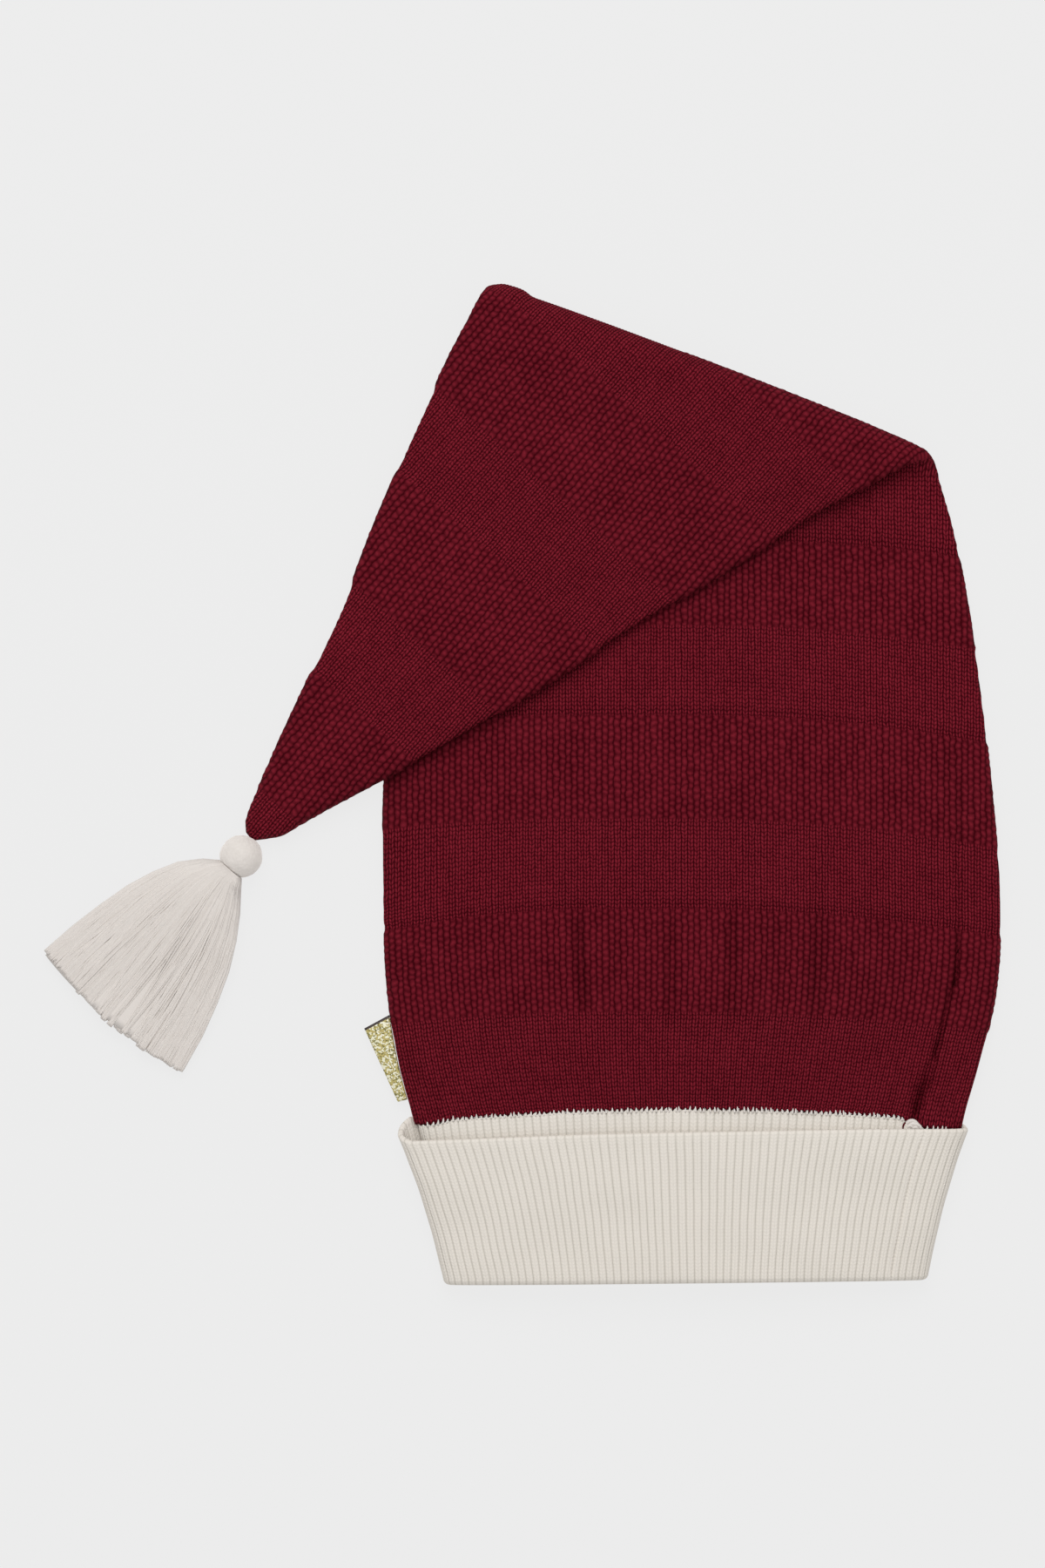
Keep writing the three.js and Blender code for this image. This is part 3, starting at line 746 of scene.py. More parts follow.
def crown_layer(outward, rows, points_inside):
    """Points, triangles, pattern points of each triangle's corners, shown shares and rim of one of the
    crown's two faces, the outer or the inner one."""
    inset = CROWN_WALL - outward
    left = side_edge(-1, inset, rows)
    right = side_edge(1, inset, rows)
    middle, share = wale_spread(np.array(RIM_Y))
    rim_x = middle + (np.arange(*PATTERN_SPAN, WALE / COLUMNS_PER_WALE) - WIDEST_MIDDLE) * share
    rim_x = rim_x[(rim_x > RIM_LEFT + RIM_INSET) & (rim_x < RIM_RIGHT - RIM_INSET)]
    points, triangles, corners, shown, rims = [], [], [], [], []
    for front in (True, False):
        bend = BEND_FRONT if front else BEND_BACK
        left_flat = edge_pattern(left, bend)
        right_flat = edge_pattern(right, bend)
        tip = in_plan(np.array([TIP_ALONG]), np.array([FOLD_REACH + bend + TIP_REACH]))
        sides = np.vstack([right_flat, tip, left_flat[::-1]] if outward else [right_flat, left_flat[::-1]])
        side_count = len(sides)
        rim = np.column_stack([rim_place(rim_x, front, outward), np.full(len(rim_x), RIM_Y)])
        inside, fine = points_inside(front, (left_flat, right_flat))
        ring = np.vstack([sides, rim])
        flat = np.vstack([ring, inside])
        faces = triangulate(ring, inside)
        placed = place_wall(flat, front, outward)
        placed[:, 1] += rim_near(flat[:, 1] - RIM_Y) * rim_shift(placed[:, 0])
        showing = np.concatenate([np.ones(side_count), np.zeros(len(rim)), fine])
        own = np.arange(len(flat))
        new = slice(0, None)
        if not front:
            own = np.where(own < side_count, own, own - side_count + len(points[0]))
            new = slice(side_count, None)
        points.append(placed[new])
        shown.append(showing[new])
        rims.append(own[side_count : side_count + len(rim)])
        turn = 1 if bool(outward) == front else -1
        triangles.append(own[faces][:, ::turn])
        corners.append(flat[faces][:, ::turn])
    loop = np.concatenate([[side_count - 1], rims[0], [0], rims[1][::-1]])
    return np.vstack(points), np.vstack(triangles), np.vstack(corners), np.concatenate(shown), loop


EDGE_OFFSETS = (0.3, 1.0)
EDGE_ROOM = 6.0  # least width of the pattern that has points close to its edges
INNER_STEP = 7.0
INNER_MARGIN = 1.5
INNER_ROWS = 4.0


def outer_inside(front, ends):
    """The lattice, and points close inside the side edges, which round them."""
    lattice, shown = lattice_points(front, ends)
    near = []
    for side, inward in zip(ends, (1, -1)):
        for offset in EDGE_OFFSETS:
            near.append(side[2:-2] + (inward * offset, 0))
    near = np.vstack(near)
    left, right = sides_at(ends, near[:, 1])
    near = near[right - left > EDGE_ROOM]
    return np.vstack([lattice, near]), np.concatenate([shown, np.zeros(len(near))])


def inner_inside(front, ends):
    """An even grid for the face that lies inside."""
    heights = np.arange(RIM_Y + INNER_STEP, ends[0][:, 1].max() - INNER_STEP, INNER_STEP)
    x, y = np.meshgrid(np.arange(*PATTERN_SPAN, INNER_STEP), heights)
    left, right = sides_at(ends, y)
    keep = (x > left + INNER_MARGIN) & (x < right - INNER_MARGIN)
    return np.column_stack([x[keep], y[keep]]), np.zeros(keep.sum())


def make_crown(material):
    points, triangles, corners, shown, rim = crown_layer(CROWN_WALL, COURSE_Y, outer_inside)
    flat = np.zeros((len(points), 2))
    flat[triangles.ravel()] = corners.reshape(-1, 2)
    relief = shown * stitch_relief(flat, knit_coordinates(flat))
    points = points + vertex_normals(points, triangles) * relief[:, None]
    rows = np.arange(RIM_Y + INNER_ROWS, PATTERN_TOP, INNER_ROWS)
    in_points, in_triangles, in_corners, _, in_rim = crown_layer(0, rows, inner_inside)
    in_triangles = in_triangles + len(points)
    in_rim = in_rim + len(points)
    next_rim, next_in = np.roll(rim, -1), np.roll(in_rim, -1)
    strip = np.vstack([np.column_stack([rim, in_rim, next_in]), np.column_stack([rim, next_in, next_rim])])
    flat = np.vstack([flat, np.zeros((len(in_points), 2))])
    flat[in_triangles.ravel()] = in_corners.reshape(-1, 2)
    faces = np.vstack([triangles, in_triangles, strip])
    corner_knit = knit_coordinates(np.vstack([corners, in_corners, flat[strip]]).reshape(-1, 2))
    attributes = {
        "seed": seed_share(knit_coordinates(flat)[:, 1]),
        # the drawn-in groove, which red_knit also darkens with painted shade
        "drawn": band_groove(flat[:, 1] + droop(*flat.T)),
    }
    crown = mesh_object("crown_knit", np.vstack([points, in_points]), faces, corner_knit, attributes)
    return dress(crown, material, "crown")


# Cuff

MOUTH = {"left": -27.4, "right": 162.4, "low": 5.4, "high": 14.9}
FREE_EDGE = {"left": -46.1, "right": 178.8, "low": 5.4, "high": 16.4}
RIM_DRAW = 1.4
RIM_HOLLOW = {
    "left": RIM_LEFT + CUFF_WALL + RIM_DRAW,
    "right": RIM_RIGHT - CUFF_WALL - RIM_DRAW,
    "low": BODY["lift"][0] + CUFF_WALL,
    "high": BODY["lift"][0] + BODY["loft"][0] - CUFF_WALL,
}
MOUTH_TILT = 1.0
CUFF_TURN = 2 * CUFF_WALL + CUFF_POCKET  # thickness of the turned-up cuff
COLUMNS_PER_RIB = 8
RIB_COLUMNS = RIBS * COLUMNS_PER_RIB
RIB_NUMBER = np.arange(RIB_COLUMNS) / COLUMNS_PER_RIB
ROUND_STEPS = 16001  # points of the fine loop that the even spacing is read from


def cuff_ring(bounds, outward, height_at):
    """Points round a flattened loop, evenly spaced on its outside, and their outward normals."""
    half = (bounds["right"] - bounds["left"]) / 2
    middle = (bounds["right"] + bounds["left"]) / 2
    edge = lerp(bounds["low"], bounds["high"], EDGE_SHARE)
    hollow = (half, bounds["low"], edge, bounds["high"])
    fine = np.linspace(0, 2 * math.pi, ROUND_STEPS)
    run = np.hypot(*(np.diff(line) for line in section_point(fine, hollow, CUFF_TURN)))
    run = np.concatenate([[0], np.cumsum(run)])
    angle = np.interp(even(RIB_COLUMNS) * run[-1], run, fine)
    x, z = section_point(angle, hollow, outward)
    far_x, far_z = section_point(angle, hollow, outward + 1)
    points = np.column_stack([middle + x, height_at(middle + x, angle), z])
    return points, np.column_stack([far_x - x, 0 * x, far_z - z])


def rim_height(x, angle):
    middle = (RIM_HOLLOW["left"] + RIM_HOLLOW["right"]) / 2
    across = 2 * (x - middle) / (RIM_HOLLOW["right"] - RIM_HOLLOW["left"])
    return RIM_Y - RIM_BOW * np.minimum(1, across**2) - GAP


def mouth_height(y):
    return lambda x, angle: y + MOUTH_TILT * np.cos(angle)


# Heights of the free edge over the width: at the front lip, and at the back behind it
LIP_LINE = [
    (-50.0, -149.8), (-39.6, -149.2), (-4.0, -147.8), (26.0, -146.6), (54.0, -145.9), (144.0, -144.4),
    (186.0, -144.6),
]
BACK_LINE = [(-50.0, -139.4), (-30.0, -140.5), (150.0, -141.0), (186.0, -141.6)]
CORNER_Y = (-146.0, -144.2)  # height of the free edge's left and right end
CORNER_ROUND = 4.5


def free_height(x, angle):
    lip, back = (np.interp(x, *np.transpose(line)) for line in (LIP_LINE, BACK_LINE))
    height = np.where(np.sin(angle) >= 0, lip, back)
    for end, corner in zip((x.min(), x.max()), CORNER_Y):
        height = lerp(corner, height, np.sqrt(np.clip(np.abs(x - end) / CORNER_ROUND, 0, 1)))
    return height


# Rows of the cuff's mesh, and how closely they crowd towards one end
INSIDE_ROWS, INSIDE_CROWD = 9, 1.7
FOLD_ROWS = 9
FRONT_ROWS, FRONT_CROWD = 30, 1.5
LIP_ROWS = 6
POCKET_ROWS = 4
STRIP_ROWS, STRIP_CROWD = 18, 1.8

# Depth of the ribs, as a share of the front's
INSIDE_RIBS = -0.4
LIP_RIBS = 0.15
STRIP_RIBS = 0.9
RIM_RIBS = 0.2
LIP_FADE = (0.92, 0.99)
STRIP_FADE = (0.2, 0.6)

LIP = 1.2  # radius of the rounded free edge
CUFF_WAIST = 0.013  # how much the cuff's sides pull in between the fold and the lip
CUFF_COURSE = 1.45


def between(a, b, shares):
    """Rings between two, at shares of the way."""
    return [(lerp(a[0], b[0], s), lerp(a[1], b[1], s)) for s in shares]


def cuff_rows():
    """All rings of the cuff in order round its section: points, normals, depth of the ribs, and how near the
    joint with the crown they lie, from 0 to 1."""
    turn = CUFF_TURN / 2
    fold_y = CUFF_BOTTOM_Y + turn
    floor_y = CUFF_BOTTOM_Y + CUFF_WALL
    pocket = CUFF_WALL + CUFF_POCKET
    inner_length = RIM_Y - fold_y
    rim_in = cuff_ring(RIM_HOLLOW, 0, rim_height)
    mouth_in = cuff_ring(MOUTH, 0, mouth_height(fold_y))
    mouth_out = cuff_ring(MOUTH, CUFF_TURN, mouth_height(fold_y))
    free_out = cuff_ring(FREE_EDGE, CUFF_TURN, free_height)
    free_in = cuff_ring(FREE_EDGE, pocket, free_height)
    floor_out = cuff_ring(MOUTH, pocket, mouth_height(floor_y))
    floor_in = cuff_ring(MOUTH, CUFF_WALL, mouth_height(floor_y))
    rim_out = cuff_ring(RIM_HOLLOW, CUFF_WALL, rim_height)
    rows = []

    def add(rings, depth, near=0.0):
        depths = np.broadcast_to(depth, len(rings))
        nears = np.broadcast_to(near, len(rings))
        rows.extend((p, n, d, s) for (p, n), d, s in zip(rings, depths, nears))

    inside = even(INSIDE_ROWS) ** INSIDE_CROWD
    add(between(rim_in, mouth_in, inside), INSIDE_RIBS, rim_near(inside * inner_length))
    for share in even(FOLD_ROWS):
        angle = math.pi * share
        height = mouth_height(fold_y - turn * math.sin(angle))
        add([cuff_ring(MOUTH, turn - turn * math.cos(angle), height)], lerp(INSIDE_RIBS, 1.0, share))
    front = 1 - (1 - even(FRONT_ROWS)) ** FRONT_CROWD
    waist = 1 - CUFF_WAIST * np.sin(math.pi * front)
    middle = (FREE_EDGE["left"] + FREE_EDGE["right"]) / 2
    sides = [
        (np.column_stack([lerp(middle, p[:, 0], w), p[:, 1:]]), n)
        for (p, n), w in zip(between(mouth_out, free_out, front), waist)
    ]
    add(sides, lerp(1.0, LIP_RIBS, smoothstep(front, *LIP_FADE)))
    for share in even(LIP_ROWS):
        angle = math.pi * share
        points, normals = between(free_out, free_in, [(1 - math.cos(angle)) / 2])[0]
        add([(points + (0, LIP * math.sin(angle), 0), normals)], lerp(LIP_RIBS, 0.0, share))
    add(between(free_in, floor_out, even(POCKET_ROWS)), 0.0)
    add([floor_out], 0.0)
    strip = 1 - (1 - even(STRIP_ROWS)) ** STRIP_CROWD
    strip_ribs = STRIP_RIBS * smoothstep(strip, *STRIP_FADE)
    add(between(floor_in, rim_out, strip), strip_ribs, rim_near((1 - strip) * inner_length))
    add(between(rim_out, rim_in, even(2)), np.array([STRIP_RIBS, RIM_RIBS]), 1.0)
    return rows


# A rib's profile, over half its width: the valley between two ribs, and the groove between a rib's two legs
VALLEY_DEPTH = 0.62
VALLEY_SPAN = (0.62, 1.0)
LEG_GROOVE_DEPTH = 0.3
LEG_GROOVE_SPAN = (0.0, 0.35)

SEAM_RIB = 6.5  # place of the cuff's own seam, in ribs from its right end
SEAM_LINE_DEPTH = 0.5
SEAM_LINE_HALF = 0.2
FULL_RIBS = 0.95  # least depth of the ribs on the rows that the seam's line crosses
SOME_RIBS = 0.05  # and on the rows that are uneven in height
SIDE_UNEVEN = 0.1
HEIGHT_UNEVEN = 0.18


def rib_profile(number):
    """Depth of the ribs' surface below their crests, from 0 to 1."""
    beside = np.abs(number - np.round(number)) * 2
    valley = smoothstep(beside, *VALLEY_SPAN)
    middle = 1 - smoothstep(beside, *LEG_GROOVE_SPAN)
    return VALLEY_DEPTH * valley + LEG_GROOVE_DEPTH * middle


def make_cuff(material):
    rows = cuff_rows()
    count = len(rows)
    points, normals = (np.stack([row[k] for row in rows]) for k in range(2))
    depth, near = (np.array([row[k] for row in rows])[:, None] for k in (2, 3))
    seam = SEAM_LINE_DEPTH * bell(RIB_NUMBER - SEAM_RIB, SEAM_LINE_HALF) * (depth > FULL_RIBS)
    points = points - normals * (RIB_DEPTH * depth * rib_profile(RIB_NUMBER) + seam)[:, :, None]
    x, y, z = np.moveaxis(points, 2, 0)
    y += near * rim_shift(x)
    x += SIDE_UNEVEN * waves(x, y, length=22, seed=41) * (1 - near)
    z += HEIGHT_UNEVEN * waves(x, y, length=30, seed=42) * (depth > SOME_RIBS)
    np.maximum(z, 0, out=z)
    run = np.linalg.norm(np.diff(points, axis=0, append=points[:1]), axis=2).mean(1)
    course = np.concatenate([[0], np.cumsum(run)]) / CUFF_COURSE
    row, column = np.meshgrid(np.arange(count + 1), np.arange(RIB_COLUMNS + 1), indexing="ij")
    corners = grid_quads(np.arange(row.size).reshape(row.shape))[:, [0, 3, 2, 1]]
    faces = (row % count * RIB_COLUMNS + column % RIB_COLUMNS).ravel()[corners]
    knit = np.stack([column / COLUMNS_PER_RIB, course[row]], -1).reshape(-1, 2)
    cuff = mesh_object("cuff_rib", points.reshape(-1, 3), faces, knit[corners].reshape(-1, 2))
    return dress(cuff, material, "cuff")


# Label

LABEL_TOP_CORNER = np.array([-65.5, -102.2])
LABEL_BOTTOM_CORNER = np.array([-51.6, -132.6])
LABEL_HELD = (-96.5, -131.5)
LABEL_LENGTH = 35.0
LABEL_WIDTH = 11.0
LABEL_THICKNESS = 1.2
LABEL_ROUNDING = 0.6
EDGE_THICKNESS = 0.25  # as a share of the label's own
LABEL_SAG = 0.7
LABEL_CURL = 0.35
CURL_TURNS = (0.4, 1.3 * math.pi)  # angle of the curl's wave at the top, and how far it goes on
LENGTH_STEPS = 60
WIDTH_STEPS = 20
EDGE_STEPS = 400


def crown_edge_x(y):
    """Left edge of the crown at heights in plan, with the bow of its rim."""
    t = np.linspace(0, BOW_END, EDGE_STEPS)
    left_x, left_y = body_at(t)[:2]
    return np.interp(y, left_y - RIM_BOW * (1 - t / BOW_END), left_x)


def make_label(material):
    _, _, _, _, loft, lift = BODY_SECTIONS[1]
    steps = np.linspace(0, 1, LENGTH_STEPS + 1), np.linspace(0, 1, WIDTH_STEPS + 1)
    length, width = np.meshgrid(*steps, indexing="ij")
    held_y = lerp(*LABEL_HELD, length)
    held_x = crown_edge_x(held_y) - GAP
    x = lerp(lerp(LABEL_TOP_CORNER[0], LABEL_BOTTOM_CORNER[0], length), held_x, width)
    y = lerp(lerp(LABEL_TOP_CORNER[1], LABEL_BOTTOM_CORNER[1], length), held_y, width)
    curl = LABEL_CURL * np.sin(CURL_TURNS[0] + CURL_TURNS[1] * length) * (1 - width)
    middle = lift + EDGE_SHARE * loft - LABEL_SAG * (1 - width) ** 2 + curl
    from_ends = np.minimum(length, 1 - length) * LABEL_LENGTH
    from_sides = np.minimum(width, 1 - width) * LABEL_WIDTH
    inward = np.clip(np.minimum(from_ends, from_sides) / LABEL_ROUNDING, 0, 1)
    half = LABEL_THICKNESS / 2 * lerp(EDGE_THICKNESS, 1, np.sqrt(1 - (1 - inward) ** 2))
    points = np.stack([[x, y, middle + half], [x, y, middle - half]])
    points = np.moveaxis(points, 1, -1).reshape(-1, 3)
    number = np.arange(length.size).reshape(length.shape)
    quads = grid_quads(number)
    border = np.concatenate([number[0, :-1], number[:-1, -1], number[-1, :0:-1], number[:0:-1, 0]])
    after = np.roll(border, -1)
    walls = np.stack([border, after, after + number.size, border + number.size], -1)
    faces = np.vstack([quads, quads[:, ::-1] + number.size, walls])
    flat = np.column_stack([width.ravel(), length.ravel()])
    corner_uv = np.vstack([flat, flat])[faces].reshape(-1, 2)
    label = mesh_object("label_weave", points, faces, corner_uv)
    return dress(label, material, "label")


# Tassel

TASSEL_AXIS = unit(np.array([-0.636, -0.772]))
SIDEWAYS = np.array([-TASSEL_AXIS[1], TASSEL_AXIS[0]])
TASSEL_COLUMNS = ("reach", "half_width", "shift", "height")
TASSEL_SECTIONS = [
    (6.5, 5.4, -0.7, 12.0),
    (16.0, 15.0, -2.2, 16.0),
    (37.0, 26.6, -1.4, 14.5),
    (63.0, 34.2, -0.6, 11.5),
    (TASSEL_LENGTH, HEM_HALF_WIDTH, -0.4, 8.5),
]
TASSEL = dict(zip(TASSEL_COLUMNS, through(TASSEL_SECTIONS, STATIONS).T))
SIDE_THINNING = 0.7
HEM_BOW = 0.1
HEM_SLANT = 2.2
HEM_SLANT_SPAN = (-0.3, 0.9)
NECK_RADIUS = 5.8
HEAD_LENGTH = 5.0

# Strands of yarn, in clumps
STRANDS = 2500
STRAND_RADIUS = 0.34
STRAND_STEPS = 9
STEP_CROWD = 1.5  # how closely a strand's points crowd towards the neck
STRAND_END = 0.985  # share of its length at which a strand's cut end begins to round
STRAND_SIDES = 4
STRAND_TAPER = 0.25
TAPER_POWER = 6
STRAND_SWAY = 0.35
SWAY_TURN = 5.0
STRAND_SPREAD = 0.07  # how far a strand's two ends differ in their place across
CLUMPS = 46
CLUMP_SPREAD = 1.15
CLUMP_SINK = 0.11
CLUMP_HEM = (-0.9, 0.6)
STRAND_HEM = 0.9
OUTER_SHARE = 0.78  # share of the strands that lie at the outside
OUTER_DEPTH = 0.1
INNER_TOP = 0.85
SHADE_STEP = 0.618034  # spreads the shades of following strands evenly


def tubes(paths, radius, sides):
    """Points, triangles and attributes of closed tubes along rows of points."""
    count, steps, _ = paths.shape
    run = unit(np.gradient(paths, axis=1))
    across = unit(np.cross(run, (0, 0, 1)))
    below = np.cross(run, across)
    turn = 2 * math.pi * even(sides)[:, None]
    ring = across[:, :, None] * np.cos(turn) + below[:, :, None] * np.sin(turn)
    width = np.broadcast_to(radius, (count, steps))[:, :, None, None]
    points, triangles = capped_rings(paths[:, :, None] + width * ring)
    place = np.repeat(np.tile(np.linspace(0, 1, steps), count), sides)
    which = np.repeat(np.arange(count), steps * sides)
    attributes = {
        "place": np.concatenate([place, np.zeros(count), np.ones(count)]),
        "strand": (np.concatenate([which, np.arange(count), np.arange(count)]) * SHADE_STEP) % 1,
    }
    return points, triangles, attributes


def add_tubes(name, material, paths, radius, sides):
    points, triangles, attributes = tubes(paths, radius, sides)
    return dress(mesh_object(name, points, triangles, None, attributes), material)


def tassel_at(reach):
    return [np.interp(reach, TASSEL["reach"], TASSEL[column]) for column in TASSEL_COLUMNS[1:]]


def on_tassel(reach, side, z):
    plan = BALL_CENTRE[:2] + reach[..., None] * TASSEL_AXIS + side[..., None] * SIDEWAYS
    return np.concatenate([plan, z[..., None]], -1)


def strand_paths():
    rng = np.random.default_rng(seed=11)
    clump = rng.integers(0, CLUMPS, STRANDS)
    clump_middle = (clump + 0.5) / CLUMPS * 2 - 1
    hem_place = clump_middle + rng.uniform(-CLUMP_SPREAD, CLUMP_SPREAD, STRANDS) / CLUMPS
    hem_place = np.clip(hem_place, -1, 1)[:, None]
    neck_place = np.clip(hem_place + rng.normal(0, STRAND_SPREAD, STRANDS)[:, None], -1, 1)
    outer = rng.random(STRANDS) < OUTER_SHARE
    outer_height = 1 - OUTER_DEPTH * rng.random(STRANDS)
    height = np.where(outer, outer_height, rng.uniform(0, INNER_TOP, STRANDS))[:, None]
    clump_sink = rng.uniform(0, CLUMP_SINK, CLUMPS)[clump][:, None]
    clump_hem = rng.uniform(*CLUMP_HEM, CLUMPS)[clump]
    hem = (clump_hem - STRAND_HEM * rng.random(STRANDS) ** 2)[:, None]
    hem = hem + TASSEL_LENGTH - HEM_BOW * HEM_HALF_WIDTH * hem_place**2
    hem = hem - HEM_SLANT * smoothstep(-hem_place, *HEM_SLANT_SPAN)
    neck_side = NECK_RADIUS * neck_place
    neck_rise = np.sqrt(NECK_RADIUS**2 - neck_side**2) * (2 * height - 1)
    neck = np.sqrt((BALL_RADIUS + STRAND_RADIUS) ** 2 - neck_side**2 - neck_rise**2)
    share = np.insert(np.linspace(0, 1, STRAND_STEPS - 1) ** STEP_CROWD, -1, STRAND_END)[None, :]
    reach = lerp(neck, hem, share)
    place = lerp(neck_place, hem_place, share)
    half_width, shift, tall = tassel_at(reach)
    wobble = rng.uniform(0, 2 * math.pi, (STRANDS, 1))
    sway = STRAND_SWAY * np.sin(SWAY_TURN * share + wobble) * share
    side = shift + place * (half_width - STRAND_RADIUS) + sway
    thin = tall * np.sqrt(1 - SIDE_THINNING * place**2)
    z = STRAND_RADIUS + np.clip(height - clump_sink * share, 0, 1) * (thin - 2 * STRAND_RADIUS)
    head = smoothstep(reach - neck, 0, HEAD_LENGTH)
    return on_tassel(reach, lerp(neck_side, side, head), lerp(BALL_RADIUS + neck_rise, z, head))


# The inner yarn of the skirt
CORE_SIDES = 40
CORE_RINGS = 24
CORE_SHARE = 0.94  # of the skirt's width and height
CORE_ENDS = (3.0, 1.5)  # distances from the ball and from the hem
CORE_SHADE = 0.5


def tassel_core():
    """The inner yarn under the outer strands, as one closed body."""
    ends = (BALL_RADIUS + CORE_ENDS[0], TASSEL_LENGTH - CORE_ENDS[1])
    reach = np.linspace(*ends, CORE_RINGS)[:, None]
    half_width, shift, tall = tassel_at(reach)
    turn = 2 * math.pi * even(CORE_SIDES)[None, :]
    place = np.cos(turn)
    top = CORE_SHARE * tall * np.sqrt(1 - SIDE_THINNING * place**2)
    z = STRAND_RADIUS + (top - STRAND_RADIUS) * (0.5 + 0.5 * np.sin(turn))
    hem = reach - HEM_BOW * half_width * place**2 * (reach / TASSEL_LENGTH)
    return capped_rings(on_tassel(hem, shift + CORE_SHARE * half_width * place, z)[None])


def make_tassel(material):
    radius = STRAND_RADIUS * (1 - STRAND_TAPER * np.linspace(0, 1, STRAND_STEPS) ** TAPER_POWER)
    points, faces, attributes = tubes(strand_paths(), radius[None, :], STRAND_SIDES)
    core_points, core_faces = tassel_core()
    faces = np.vstack([faces, core_faces + len(points)])
    shades = np.full(len(core_points), CORE_SHADE)
    attributes = {key: np.append(values, shades) for key, values in attributes.items()}
    skirt = mesh_object("tassel_strands", np.vstack([points, core_points]), faces, None, attributes)
    return dress(skirt, material, "tassel_skirt")


# Yarn at the joint of crown and cuff

LOOP_RADIUS = 0.5
LOOP_TAPER = 0.65
LOOP_BELOW = 1.2
LOOP_REACH = (0.1, 1.2)
LOOP_OFFSET = 0.5
LOOP_LEAN = 0.35
LOOP_RISE = 0.1
LOOP_ARCH = 0.25
LOOP_STEPS = 6
LOOP_SIDES = 5
LOOP_INSET = 3.0


def on_rim(x):
    """Points of the joint on the front."""
    points = place_wall(np.column_stack([x, np.full(len(x), RIM_Y)]), True, CROWN_WALL)
    points[:, 1] += rim_line(points[:, 0])
    return points


def make_loops(material):
    """Thin loops of cream yarn that reach up into the crown's first course, one at each tooth."""
    rng = np.random.default_rng(seed=61)
    first, last = (RIM_LEFT + LOOP_INSET) / TOOTH_PITCH, (RIM_RIGHT - LOOP_INSET) / TOOTH_PITCH
    x = (np.arange(math.ceil(first), last) + 0.5) * TOOTH_PITCH
    x += rng.uniform(-LOOP_OFFSET, LOOP_OFFSET, len(x))
    lean = rng.uniform(-LOOP_LEAN, LOOP_LEAN, len(x))
    tall = rng.uniform(*LOOP_REACH, len(x))
    share = np.linspace(0, 1, LOOP_STEPS)
    paths = np.repeat(on_rim(x)[:, None, :], LOOP_STEPS, axis=1)
    paths[:, :, 0] += lean[:, None] * share
    paths[:, :, 1] += lerp(-LOOP_BELOW, tall[:, None], share)
    paths[:, :, 2] += LOOP_RISE + LOOP_ARCH * np.sin(math.pi * share)
    radius = LOOP_RADIUS * (1 - LOOP_TAPER * share**2)
    return add_tubes("rim_loops", material, paths, radius[None, :], LOOP_SIDES)


# The knot where the cuff's seam ends, as arches of yarn in plan
KNOT_COLUMNS = ("x", "y", "half", "rise", "radius")
KNOT_ARCHES = [
    (160.6, -144.0, 2.9, 4.0, 0.85),
    (161.2, -144.2, 1.9, 3.0, 0.9),
    (162.2, -144.0, 2.0, 2.6, 0.8),
    (160.0, -144.2, 1.2, 2.2, 0.8),
    (162.0, -144.3, 0.9, 1.6, 0.8),
]
KNOT_X = 160.0
KNOT_LIFT = 0.4
KNOT_SWELL = 1.2
KNOT_STEPS = 14
KNOT_SIDES = 10

# The red thread beside it, with heights above the joint
THREAD = [
    (159.2, -140.4, 1.0), (157.9, -140.9, 1.7), (157.1, -142.2, 1.8), (157.2, -143.8, 1.2),
    (157.5, -145.4, 0.2),
]
THREAD_RADIUS = 0.42
THREAD_STEPS = 28
THREAD_SIDES = 8


def make_knot(cream, red):
    turn = np.linspace(0, math.pi, KNOT_STEPS)
    level = on_rim(np.array([KNOT_X]))[0, 2]
    paths = []
    for arch in KNOT_ARCHES:
        a = dict(zip(KNOT_COLUMNS, arch))
        x = a["x"] - a["half"] * np.cos(turn)
        y = a["y"] + a["rise"] * np.sin(turn)
        paths.append(np.column_stack([x, y, level + KNOT_LIFT + KNOT_SWELL * np.sin(turn)]))
    radius = np.array([arch[-1] for arch in KNOT_ARCHES])[:, None]
    add_tubes("seam_knot", cream, np.array(paths), radius, KNOT_SIDES)
    thread = through(THREAD, np.linspace(0, 1, THREAD_STEPS)) + (0, 0, level)
    add_tubes("seam_thread", red, thread[None], THREAD_RADIUS, THREAD_SIDES)


# Ball

BALL_SIDES = 128
BALL_RINGS = 64
BALL_DENTS = 0.10
BALL_GRAIN = 0.05


def make_ball(material):
    longitude = 2 * math.pi * even(BALL_SIDES)
    latitude = math.pi * (even(BALL_RINGS) + 0.5 / BALL_RINGS)
    lat, lon = np.meshgrid(latitude, longitude, indexing="ij")
    outward = np.stack([np.sin(lat) * np.cos(lon), np.sin(lat) * np.sin(lon), np.cos(lat)], -1)
    x, y, z = np.moveaxis(outward * BALL_RADIUS, -1, 0)
    dents = BALL_DENTS * waves(x + 2 * z, y - z, length=7, seed=21)
    grain = BALL_GRAIN * waves(x - z, y + 2 * z, length=2.5, seed=22)
    points = BALL_CENTRE + outward * (BALL_RADIUS - BALL_GRAIN + dents + grain)[..., None]
    points[..., 2] = np.maximum(points[..., 2], 0)
    ball = mesh_object("tassel_ball_felt", *capped_rings(points[None]))
    return dress(ball, material, "tassel_ball")


# Materials


def operation(kind):
    """A method that feeds a value, and what it is combined with, to a math node."""

    def method(value, *others):
        return value.graph.math(kind, value, *others)

    return method


